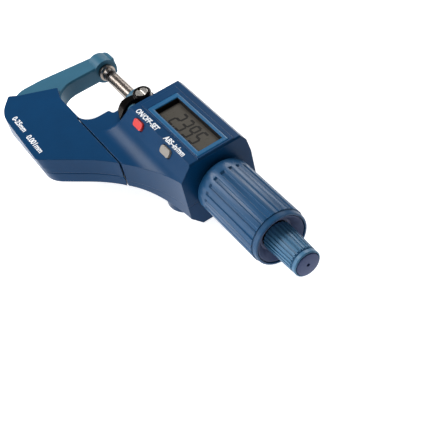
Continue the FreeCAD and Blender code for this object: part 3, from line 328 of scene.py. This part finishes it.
# Sleeve, barrel and nuts
# Turned parts between the bow and the thimble: a sleeve pressed into the bow, a barrel
# over it and the thimble's core, all in satin metal, and a brass nut for the spindle.
satin_metal = finish(
    "satin_aluminium", (150, 150, 150), 0.35, 1800, 0.001, 0.15, 0.05, 1.0, run=RINGS
)
brass = finish("brass", (170, 140, 80), 0.3, 1800, 0.001, 0.1, 0.05, 1.0, run=RINGS)
dress(["inner_sleeve", "barrel", "adjusting_nut", "thimble_core"], satin_metal)
dress(["spindle_nut", "rotor_bush"], brass)

# Covers and housing
# Four injection mouldings in deep blue with a fine spark-eroded texture, screwed together
# over the bow from behind. The covers' heel grows rounder towards the back, the seam
# between them is sunk, and a tongue narrows their joint with the housing.
HEEL = (34.8, -56.95)
HEEL_TURN = math.radians(46)
HEEL_FRONT_ROUND = 3
HEEL_BACK_ROUND = 13
HEEL_COLUMNS = range(26, 48)
HEEL_DEEP, HEEL_BLEND = 5, 2
WALL_LEAN = 2.3
FACE_HEIGHT, BACK_HEIGHT = 6.2, -7.7
SEAM_HEIGHT, SEAM_WIDE, SEAM_DEEP = -2.2, 0.5, 0.5
COVER_EDGE, EDGE_BACK = -29.4, 0.2
TONGUE_HEIGHT, TONGUE = -5, 0.24
blue_plastic = finish("blue_plastic", (2, 57, 98), 0.32, 3800, 0.01, 0.5, 0.06, 0.0, 0.13)
dress(["front_cover", "back_cover", "housing_front", "housing_back"], blue_plastic)


def node_copy(name):
    """A merged copy of a CAD piece, in millimetres, without its stored normals."""
    mesh = nodes[name].data.copy()
    stored = mesh.attributes.get("custom_normal")
    if stored:
        mesh.attributes.remove(stored)
    shape = bmesh.new()
    shape.from_mesh(mesh)
    bpy.data.meshes.remove(mesh)
    to_mm = Matrix.Scale(1 / MM, 4) @ nodes[name].matrix_world
    bmesh.ops.transform(shape, matrix=to_mm, verts=shape.verts)
    bmesh.ops.remove_doubles(shape, verts=shape.verts, dist=0.001)
    return shape


def cut_faces(shape, faces, place, normal):
    """Add a row of points where a plane crosses some of the faces."""
    parts = faces + [e for f in faces for e in f.edges] + [v for f in faces for v in f.verts]
    bmesh.ops.bisect_plane(
        shape, geom=list(dict.fromkeys(parts)), plane_co=place, plane_no=normal
    )


def cut_walls(shape, place, normal):
    """Add a row of points where a plane crosses the upright walls."""
    cut_faces(shape, [f for f in shape.faces if abs(f.normal.z) < 0.9], place, normal)
    shape.normal_update()


def round_heel(shape):
    """Move the walls at the heel so that its corner grows rounder towards the back."""
    side_normal = Vector((math.sin(HEEL_TURN), -math.cos(HEEL_TURN)))
    for x in HEEL_COLUMNS:
        cut_walls(shape, (x, 0, 0), (1, 0, 0))
    for vert in shape.verts:
        place = vert.co.xy
        drop = (FACE_HEIGHT - vert.co.z) / (FACE_HEIGHT - BACK_HEIGHT)
        to_bottom = place.y - HEEL[1] - WALL_LEAN * drop
        to_side = (Vector(HEEL) - place).dot(side_normal)
        depth = min(to_bottom, to_side)
        flat = HEEL_FRONT_ROUND * math.tan(HEEL_TURN / 2)
        old_centre = Vector((HEEL[0] - flat, HEEL[1] + HEEL_FRONT_ROUND))
        turned = (place - old_centre).normalized()
        if turned.x > 0 and turned.y < 0 and turned.cross(side_normal) > 0:
            depth = min(depth, HEEL_FRONT_ROUND - (place - old_centre).length)
        grown = HEEL_FRONT_ROUND + drop * (HEEL_BACK_ROUND - HEEL_FRONT_ROUND)
        bottom = HEEL[1] + WALL_LEAN * drop
        corner_x = HEEL[0] + WALL_LEAN * drop / math.tan(HEEL_TURN)
        centre = Vector((corner_x - grown * math.tan(HEEL_TURN / 2), bottom + grown))
        turned = (place - centre).normalized()
        at_corner = turned.x > 0 and turned.y < 0 and turned.cross(side_normal) > 0
        if at_corner and depth < HEEL_DEEP:
            weight = min(1, (HEEL_DEEP - depth) / HEEL_BLEND)
            moved = centre + turned * (grown - depth)
            vert.co.xy = place.lerp(moved, weight)


for node_name, piece_name in (("front_cover", "front_grip"), ("back_cover", "back_grip")):
    cover = node_copy(node_name)
    cover.normal_update()
    if node_name == "back_cover":
        cut_walls(cover, (0, 0, SEAM_HEIGHT - SEAM_WIDE), (0, 0, 1))
        cut_walls(cover, (0, 0, TONGUE_HEIGHT), (0, 0, 1))
        for vert in cover.verts:
            if vert.co.z > SEAM_HEIGHT - 0.1 and vert.normal.y < -0.3:
                vert.co.xy -= vert.normal.xy.normalized() * SEAM_DEEP
    for vert in cover.verts:
        if abs(vert.co.y - COVER_EDGE) < 0.02:
            on_tongue = abs(vert.co.z - TONGUE_HEIGHT) < 0.1
            vert.co.y += TONGUE if on_tongue else -EDGE_BACK
    round_heel(cover)
    bmesh.ops.scale(cover, verts=cover.verts, vec=(MM, MM, MM))
    grip_cover = link_mesh(piece_name, cover, blue_plastic, 30)
    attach(grip_cover, "micrometer")
    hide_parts(node_name)

# Case screws
# Six zinc plated screws with pan heads and a cross recess, driven from behind into
# posts of the front mouldings.
HEAD_SIDE = 2.1
HEAD_HEIGHT = 1.1
SHANK_SIDE = 1.1
SHANK_LENGTH = 10
CROSS_REACH = 1.25
CROSS_HALF = 0.3
CROSS_DEPTH = 0.75
CROSS_DRAFT = 0.6
HEAD_ROUND = 0.35
SCREW_TURN = 0.6
SCREW_PLACES = (
    (53.5, 11.5, 17.3),
    (92.7, 11.5, 17.3),
    (37.5, -24.0, 7.6),
    (50.5, -24.0, 7.6),
    (1.0, -44.0, 7.6),
    (36.8, -40.0, 7.6),
)


def cross_screw():
    """One screw along Z with its head at the origin, facing down."""
    shape = bmesh.new()
    bmesh.ops.create_circle(shape, cap_ends=True, segments=32, radius=HEAD_SIDE)
    head = shape.faces[:]
    sunk = bmesh.ops.extrude_face_region(shape, geom=head)
    top = [f for f in sunk["geom"] if isinstance(f, bmesh.types.BMFace)]
    bmesh.ops.translate(shape, verts=top[0].verts, vec=(0, 0, HEAD_HEIGHT))
    bmesh.ops.inset_region(shape, faces=top, thickness=HEAD_SIDE - SHANK_SIDE)
    shank = bmesh.ops.extrude_face_region(shape, geom=top)
    end = [v for v in shank["geom"] if isinstance(v, bmesh.types.BMVert)]
    bmesh.ops.translate(shape, verts=end, vec=(0, 0, SHANK_LENGTH - HEAD_HEIGHT))
    bmesh.ops.delete(shape, geom=top, context="FACES_ONLY")
    rim = [e for e in shape.edges if all(abs(v.co.z) < 1e-6 for v in e.verts)]
    bmesh.ops.bevel(
        shape,
        geom=rim,
        offset=HEAD_ROUND,
        segments=3,
        profile=0.5,
        affect="EDGES",
        material=-1,
    )
    for axis in ((1, 0, 0), (0, 1, 0)):
        for reach in (CROSS_REACH, CROSS_HALF, -CROSS_HALF, -CROSS_REACH):
            level_faces = [f for f in shape.faces if abs(f.normal.z) > 0.99]
            flat = [f for f in level_faces if f.calc_center_median().z < 0.01]
            cut_faces(shape, flat, [reach * a for a in axis], axis)
    cross = []
    for face in shape.faces:
        middle = face.calc_center_median()
        reaches = sorted((abs(middle.x), abs(middle.y)))
        if middle.z < 0.01 and abs(face.normal.z) > 0.99 and reaches[0] < CROSS_HALF:
            if reaches[1] < CROSS_REACH:
                cross.append(face)
    sunk = bmesh.ops.extrude_face_region(shape, geom=cross)
    floor_verts = [v for v in sunk["geom"] if isinstance(v, bmesh.types.BMVert)]
    bmesh.ops.delete(shape, geom=cross, context="FACES")
    bmesh.ops.scale(shape, verts=floor_verts, vec=(CROSS_DRAFT, CROSS_DRAFT, 1))
    bmesh.ops.translate(shape, verts=floor_verts, vec=(0, 0, CROSS_DEPTH))
    bmesh.ops.recalc_face_normals(shape, faces=shape.faces)
    return shape


one_screw = cross_screw()
screw_mesh = bpy.data.meshes.new("one_screw")
one_screw.to_mesh(screw_mesh)
one_screw.free()
all_screws = bmesh.new()
for turn_step, (x, y, depth) in enumerate(SCREW_PLACES):
    before = len(all_screws.verts)
    all_screws.from_mesh(screw_mesh)
    all_screws.verts.ensure_lookup_table()
    added = all_screws.verts[before:]
    turned = Matrix.Rotation(SCREW_TURN * turn_step, 3, "Z")
    bmesh.ops.rotate(all_screws, verts=added, matrix=turned)
    bmesh.ops.translate(all_screws, verts=added, vec=(x, y, -depth))
bpy.data.meshes.remove(screw_mesh)
bmesh.ops.scale(all_screws, verts=all_screws.verts, vec=(MM, MM, MM))
screw_zinc = finish("screw_zinc", (150, 150, 154), 0.3, 3000, 0.002, 0.08, 0.06, 1.0)
screws = link_mesh("cross_screws", all_screws, screw_zinc, 40)
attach(screws, "micrometer")
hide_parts("case_screws")

# Print
# White ink, pad printed: what each key does beside the display, the range and the step
# on the cover. The place above the range stays bare.
INK_LIFT = 0.03
INK_SPREAD = 0.027
FACE, GRIP_FACE = 16.7, 6.2
white_ink = finish("white_ink", (250, 252, 255), 0.5, 3000, 0.001, 0, 0.02)


def print_words(name, words, x_span, y_span, height):
    """Words in thin ink, fitted between two X and two Y places on a level face."""
    letters = bpy.data.curves.new(name + "_letters", "FONT")
    letters.body = words
    letters.offset = INK_SPREAD
    letters.extrude = 0.1
    block = bpy.data.objects.new(name + "_letters", letters)
    scene.collection.objects.link(block)
    cast = bpy.data.meshes.new_from_object(block)
    bpy.data.objects.remove(block)
    shape = bmesh.new()
    shape.from_mesh(cast)
    bpy.data.meshes.remove(cast)
    bmesh.ops.remove_doubles(shape, verts=shape.verts, dist=1e-4)
    spans = []
    z_span = (height - INK_LIFT, height + INK_LIFT)
    for axis, (low, high) in enumerate((x_span, y_span, z_span)):
        reaches = [v.co[axis] for v in shape.verts]
        grow = (high - low) / (max(reaches) - min(reaches))
        spans.append((grow * MM, (low - grow * min(reaches)) * MM))
    fit = Matrix.Translation([shift for grow, shift in spans]) @ Matrix.Diagonal(
        [grow for grow, shift in spans] + [1]
    )
    bmesh.ops.transform(shape, matrix=fit, verts=shape.verts)
    piece = link_mesh(name, shape, white_ink, 0)
    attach(piece, "micrometer")


print_words("print_power", "ON/OFF\u2013SET", (51.6, 69.6), (-11.1, -8.4), FACE)
print_words("print_units", "ABS\u2013in/mm", (76.0, 91.7), (-11.2, -8.4), FACE)
print_words("print_range", "0-25mm", (0.0, 13.1), (-53.4, -50.6), GRIP_FACE)
print_words("print_step", "0.001mm", (17.2, 32.0), (-54.0, -51.2), GRIP_FACE)

# Display
# A brighter bezel pressed into the plateau, black lining down to the glass as painted shade
# on the window's walls, and a liquid crystal panel with a black border, partly painted shade
# of the recess, and dark figures under the glass.
BEZEL_CORNER = 0.7
BEZEL_ROUND = 0.3
SHADE_LINING_WALL = 0.25
SHADE_LINING_LOW = 0.4
BORDER_AND_SHADE_WIDE = ((1.2, 0.3), (0.3, 0.7))
BORDER_THICK, FIGURE_THICK = 0.03, 0.02
bezel_plastic = finish("bezel_plastic", (8, 90, 136), 0.34, 3800, 0.008, 0.2, 0.05, 0.0, 0.28)
lcd_glass = finish("lcd_glass", (80, 76, 69), 0.3, 900, 0.0, 0, 0.08, 0.0, 0.15)
black_mask_and_painted_shade = finish("black_mask_and_painted_shade", (9, 10, 12), 0.5, 3000, 0.004, 0, 0.05, 0.0, 0.3)
figure_dark = finish("figure_dark", (30, 28, 26), 0.35, 1500, 0.0, 0, 0.05, 0.0, 0.15)
bezel_low, bezel_high = ([c / MM for c in corner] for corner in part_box("display_bezel"))
glass_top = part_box("lcd_panel")[1][2] / MM
WINDOW_LOW = (58.0, -4.4)
WINDOW_HIGH = (94.5, 7.7)


def frame_ring(outer_low, outer_high, inner_low, inner_high, bottom, top, corner):
    """A rectangular ring with rounded corners, between two heights, in millimetres."""
    shape = bmesh.new()
    bmesh.ops.create_grid(shape, x_segments=1, y_segments=1, size=0.5)
    size = [high - low for low, high in zip(outer_low, outer_high)]
    middle = [(high + low) / 2 for low, high in zip(outer_low, outer_high)]
    bmesh.ops.scale(shape, verts=shape.verts, vec=(size[0], size[1], 1))
    bmesh.ops.translate(shape, verts=shape.verts, vec=(middle[0], middle[1], bottom))
    if corner:
        bmesh.ops.bevel(
            shape,
            geom=shape.verts[:],
            offset=corner,
            segments=5,
            profile=0.5,
            affect="VERTICES",
            material=-1,
        )
    plate = shape.faces[:]
    bmesh.ops.inset_region(shape, faces=plate, thickness=min(size) / 8, use_boundary=True)
    for axis in (0, 1):
        reaches = [v.co[axis] for v in plate[0].verts]
        low, high = min(reaches), max(reaches)
        grow = (inner_high[axis] - inner_low[axis]) / (high - low)
        for vert in plate[0].verts:
            vert.co[axis] = inner_low[axis] + grow * (vert.co[axis] - low)
    bmesh.ops.delete(shape, geom=plate, context="FACES")
    ring = shape.faces[:]
    risen = bmesh.ops.extrude_face_region(shape, geom=ring)
    verts = [v for v in risen["geom"] if isinstance(v, bmesh.types.BMVert)]
    bmesh.ops.translate(shape, verts=verts, vec=(0, 0, top - bottom))
    bmesh.ops.recalc_face_normals(shape, faces=shape.faces)
    return shape


ring = frame_ring(
    bezel_low, bezel_high, WINDOW_LOW, WINDOW_HIGH, bezel_low[2], bezel_high[2], BEZEL_CORNER
)
rims = [e for e in ring.edges if all(v.co.z > bezel_high[2] - 0.01 for v in e.verts)]
rims = [e for e in rims if e.calc_face_angle(0) > 1]
bmesh.ops.bevel(
    ring, geom=rims, offset=BEZEL_ROUND, segments=3, profile=0.5, affect="EDGES", material=-1
)
bmesh.ops.scale(ring, verts=ring.verts, vec=(MM, MM, MM))
bezel = link_mesh("bezel", ring, bezel_plastic, 40)
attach(bezel, "micrometer")
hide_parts("display_bezel")

# Black lining on the window's walls: painted shade of the recess.
shade_lining = frame_ring(
    [c + 0.02 for c in WINDOW_LOW],
    [c - 0.02 for c in WINDOW_HIGH],
    [c + SHADE_LINING_WALL for c in WINDOW_LOW],
    [c - SHADE_LINING_WALL for c in WINDOW_HIGH],
    glass_top + 0.01,
    bezel_high[2] - SHADE_LINING_LOW,
    0,
)
bmesh.ops.scale(shade_lining, verts=shade_lining.verts, vec=(MM, MM, MM))
shade_lining = link_mesh("painted_recess_shade", shade_lining, black_mask_and_painted_shade, 30)
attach(shade_lining, "micrometer")

# The panel's printed black border, widened on the low X and high Y sides as painted shade of
# the recess.
border_and_shade = frame_ring(
    WINDOW_LOW,
    WINDOW_HIGH,
    [c + wide for c, wide in zip(WINDOW_LOW, BORDER_AND_SHADE_WIDE[0])],
    [c - wide for c, wide in zip(WINDOW_HIGH, BORDER_AND_SHADE_WIDE[1])],
    glass_top,
    glass_top + BORDER_THICK,
    0,
)
bmesh.ops.scale(border_and_shade, verts=border_and_shade.verts, vec=(MM, MM, MM))
border_and_shade = link_mesh("glass_border_and_shade", border_and_shade, black_mask_and_painted_shade, 30)
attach(border_and_shade, "micrometer")

BARS = {"2": "abged", "3": "abgcd", "9": "abcdfg", "5": "afgcd"}
BAR_PLACES = {
    "a": (0, 1, 0),
    "g": (0, 0, 0),
    "d": (0, -1, 0),
    "b": (0.5, 0.5, 1),
    "c": (0.5, -0.5, 1),
    "f": (-0.5, 0.5, 1),
    "e": (-0.5, -0.5, 1),
}
BAR_HALF = 0.64
FIGURE_WIDE = 3.3
FIGURE_HALF = 3.95
FIGURE_STEP = 5.5
FIGURE_START = 68.6
FIGURE_MIDDLE = 0.9
FIGURE_LEAN = 0.1
BAR_GAP = 0.1
POINT_SIDE = 0.45
figures = bmesh.new()
for count, figure in enumerate("2395"):
    for bar in BARS[figure]:
        x, y, stands = BAR_PLACES[bar]
        made = bmesh.ops.create_circle(figures, cap_ends=True, segments=6, radius=BAR_HALF)
        verts = made["verts"]
        length = FIGURE_HALF if stands else FIGURE_WIDE
        for vert in verts:
            if abs(vert.co.y) > 1e-6:
                vert.co.y += math.copysign(length / 2 - BAR_HALF - BAR_GAP, vert.co.y)
        if not stands:
            bmesh.ops.rotate(figures, verts=verts, matrix=Matrix.Rotation(math.pi / 2, 3, "Z"))
        centre = (count * FIGURE_STEP + x * FIGURE_WIDE, y * FIGURE_HALF, 0)
        bmesh.ops.translate(figures, verts=verts, vec=centre)
point = bmesh.ops.create_circle(figures, cap_ends=True, segments=12, radius=POINT_SIDE)
point_place = (FIGURE_STEP / 2 + 0.1, -FIGURE_HALF, 0)
bmesh.ops.translate(figures, verts=point["verts"], vec=point_place)
for vert in figures.verts:
    vert.co.x += FIGURE_LEAN * vert.co.y
thick = bmesh.ops.extrude_face_region(figures, geom=figures.faces[:])
raised = [v for v in thick["geom"] if isinstance(v, bmesh.types.BMVert)]
bmesh.ops.translate(figures, verts=raised, vec=(0, 0, FIGURE_THICK))
bmesh.ops.translate(figures, verts=figures.verts, vec=(FIGURE_START, FIGURE_MIDDLE, glass_top))
bmesh.ops.scale(figures, verts=figures.verts, vec=(MM, MM, MM))
bmesh.ops.recalc_face_normals(figures, faces=figures.faces)
reading = link_mesh("reading", figures, figure_dark, 0)
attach(reading, "micrometer")
dress(["lcd_panel"], lcd_glass)
circuit = finish("circuit", (24, 70, 40), 0.4, 3000, 0.004, 0)
rubber = finish("grey_rubber", (60, 60, 62), 0.7, 3000, 0.01, 0)
dress(["circuit_board", "encoder_stator", "encoder_rotor"], circuit)
dress(["contact_strips", "button_pad"], rubber)

# Buttons
# Two hard moulded keys in guides of the slope, over a rubber strip that springs them
# back: red for power and zero, warm white for the units.
red_plastic = finish("red_plastic", (222, 56, 54), 0.35, 3000, 0.006, 0.6)
white_plastic = finish("white_plastic", (152, 146, 138), 0.4, 3000, 0.006, 0.6)
dress(["on_button"], red_plastic)
dress(["mode_button"], white_plastic)

# Battery
# A button cell between sprung contacts, behind a round moulded cap with a coin slot. A
# short turn frees the cap.
dress(["battery_cell", "battery_contacts"], bright_steel)
cap_plastic = finish("cap_plastic", (8, 50, 86), 0.45, 3800, 0.012, 0.3)
dress(["battery_cap"], cap_plastic)

# Lock
# A steel lever in black chrome on a keyed pin through the bow's boss. A slotted screw
# holds it over a bright washer.
black_chrome = finish("black_chrome", (34, 32, 31), 0.16, 1600, 0.002, 0.5, 0.05, 1.0)
lock_steel = finish("lock_steel", (200, 196, 190), 0.26, 3000, 0.002, 0.2, 0.04, 1.0)
dress(["lock_lever"], black_chrome)
dress(["lock_screw", "lock_pin"], lock_steel)

# Thimble
# The moulded grip over the metal core, with sunk grooves between flat lands and a collar
# round the hollow end, which has a grey lining.
GROOVES = 22
GROOVE_SPAN = (0.25, 0.75)
COLUMNS = 6
BAND = 5.6
COLLAR = 2.8
COLLAR_STEP = 0.5
GROOVE_DEPTH = 0.75
GROOVE_ROUND = 0.78
GROOVE_RAMP = 0.7
GROOVE_DRAFT = 0.25
RIM_ROUND = 0.16
WALL = 1.93
LINING_SIDE = 11.0
CLUTCH_HOLE = 6.55
thimble_plastic = finish("thimble_plastic", (24, 78, 120), 0.36, 3200, 0.01, 0, 0.06, 0.0, 0.3)
grip_low, grip_high = ([c / MM for c in corner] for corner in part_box("thimble"))
side = grip_high[2]
front, end_x = grip_low[0], grip_high[0]
rim_side = side - COLLAR_STEP
PROFILE = (
    (front, side - WALL),
    (front, side - 0.5),
    (front + 0.15, side - 0.15),
    (front + 0.5, side),
    (front + BAND, side),
    (end_x - COLLAR, side),
    (end_x - COLLAR, rim_side),
    (end_x - 0.5, rim_side),
    (end_x - 0.15, rim_side - 0.15),
    (end_x, rim_side - 0.5),
    (end_x, rim_side - 0.8),
    (end_x - 0.15, rim_side - 0.95),
    (end_x - 1.6, rim_side - 0.95),
    (end_x - 1.6, LINING_SIDE),
    (end_x - 4.6, 7.6),
    (end_x - 4.6, CLUTCH_HOLE),
    (end_x - 5.2, CLUTCH_HOLE),
    (end_x - 5.2, side - WALL),
)


def spun_shape(profile, steps):
    """A closed profile of X places and radii, in millimetres, spun about the axis."""
    shape = bmesh.new()
    ring_verts = [shape.verts.new((x, 0, r)) for x, r in profile]
    pairs = zip(ring_verts[-1:] + ring_verts[:-1], ring_verts)
    ring_edges = [shape.edges.new(pair) for pair in pairs]
    bmesh.ops.spin(
        shape,
        geom=ring_verts + ring_edges,
        cent=(0, 0, 0),
        axis=(1, 0, 0),
        angle=2 * math.pi,
        steps=steps,
        use_merge=True,
    )
    bmesh.ops.remove_doubles(shape, verts=shape.verts, dist=1e-4)
    axis_edges = [e for e in shape.edges if not e.link_faces]
    bmesh.ops.delete(shape, geom=axis_edges, context="EDGES")
    bmesh.ops.recalc_face_normals(shape, faces=shape.faces)
    return shape


grip = spun_shape(PROFILE, GROOVES * COLUMNS)
sunk = []
for face in grip.faces:
    middle = face.calc_center_median()
    on_skin = math.hypot(middle.y, middle.z) > side - 0.05
    if on_skin and front + BAND < middle.x < end_x - COLLAR:
        turned_by = math.atan2(middle.y, middle.z) * GROOVES / (2 * math.pi)
        if GROOVE_SPAN[0] < turned_by % 1 < GROOVE_SPAN[1]:
            sunk.append(face)
floors = bmesh.ops.extrude_face_region(grip, geom=sunk)
bmesh.ops.delete(grip, geom=sunk, context="FACES")
for vert in floors["geom"]:
    if isinstance(vert, bmesh.types.BMVert):
        reach = math.hypot(vert.co.y, vert.co.z) - GROOVE_DEPTH
        turned_by = math.atan2(vert.co.y, vert.co.z) * GROOVES / (2 * math.pi)
        angle = (turned_by - GROOVE_DRAFT * (turned_by % 1 - 0.5)) * 2 * math.pi / GROOVES
        vert.co.y, vert.co.z = reach * math.sin(angle), reach * math.cos(angle)
corners = []
for edge in grip.edges:
    at_front = all(abs(v.co.x - front - BAND) < 0.01 for v in edge.verts)
    reach = sorted(math.hypot(v.co.y, v.co.z) for v in edge.verts)
    upright_edge = side - 1 < reach[0] < side - 0.5 < reach[1] - 0.1
    if at_front and upright_edge and len(edge.link_faces) == 2:
        if edge.calc_face_angle(0) > 1:
            corners.append(edge)
bmesh.ops.bevel(
    grip,
    geom=corners,
    offset=GROOVE_ROUND,
    segments=4,
    profile=0.5,
    affect="EDGES",
    material=-1,
)
for vert in grip.verts:
    into = vert.co.x - front - BAND
    if into < 1 and 0.5 < side - math.hypot(vert.co.y, vert.co.z) < 1 and into > -0.01:
        vert.co.x += GROOVE_RAMP * (1 - into)
rims = []
for edge in grip.edges:
    if len(edge.link_faces) != 2 or edge.calc_face_angle(0) < 0.5:
        continue
    middle = (edge.verts[0].co + edge.verts[1].co) / 2
    reach = math.hypot(middle.y, middle.z)
    if front + BAND - 0.01 < middle.x < end_x - COLLAR + 0.01 and reach > side - 1:
        rims.append(edge)
bmesh.ops.bevel(
    grip, geom=rims, offset=RIM_ROUND, segments=2, profile=0.5, affect="EDGES", material=-1
)
bmesh.ops.scale(grip, verts=grip.verts, vec=(MM, MM, MM))
grip_piece = link_mesh("thimble_grip", grip, thimble_plastic, 25)
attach(grip_piece, "spindle")
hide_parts("thimble")

DISH = (
    (end_x - 0.4, 10.9),
    (end_x - 0.55, 11.05),
    (end_x - 1.5, 11.05),
    (end_x - 4.5, 7.65),
    (end_x - 4.5, 6.6),
    (end_x - 4.1, 6.6),
    (end_x - 4.1, 7.6),
    (end_x - 0.4, 10.75),
)


def turned_piece(name, profile, material, ride_on):
    """A plain turned piece, riding a body and wearing the given finish."""
    shape = spun_shape(profile, 96)
    bmesh.ops.scale(shape, verts=shape.verts, vec=(MM, MM, MM))
    piece = link_mesh(name, shape, material, 40)
    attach(piece, ride_on)
    return piece


dish_grey = finish("dish_grey", (88, 100, 134), 0.5, 3200, 0.01, 0, 0.06, 0.0, 0.3)
turned_piece("thimble_dish", DISH, dish_grey, "spindle")

# Ratchet
# A toothed disc and a spring behind a ribbed knob with a finger grip, closed by a grey
# cap that is pressed into the knob's end and has a small dimple in its middle.
CAP_SIDE = 5.25
CAP_DOT = 0.75
black_steel = finish("black_steel", (16, 16, 18), 0.5, 3000, 0.003, 0.1, 0.05, 0.0, 0.2)
dress(["ratchet_clutch"], black_steel)
dress(["ratchet_spring"], satin_metal)
knob_plastic = finish("knob_plastic", (68, 118, 154), 0.4, 3200, 0.012, 0.2, 0.06, 0.0, 0.3)
dress(["ratchet_knob"], knob_plastic)
cap_grey = finish("ratchet_cap_grey", (56, 72, 114), 0.45, 3200, 0.01, 0, 0.06, 0.0, 0.3)
cap_low, cap_high = ([c / MM for c in corner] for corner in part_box("ratchet_cap"))
CAP = (
    (cap_low[0], CAP_SIDE),
    (cap_high[0] - 0.4, CAP_SIDE),
    (cap_high[0] - 0.12, CAP_SIDE - 0.12),
    (cap_high[0], CAP_SIDE - 0.4),
    (cap_high[0], CAP_DOT + 0.1),
    (cap_high[0] - 0.1, CAP_DOT),
    (cap_high[0] - 1, CAP_DOT),
    (cap_high[0] - 1, 0),
    (cap_low[0], 0),
)
knob_cap = turned_piece("knob_cap", CAP, cap_grey, "ratchet")
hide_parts("ratchet_cap")
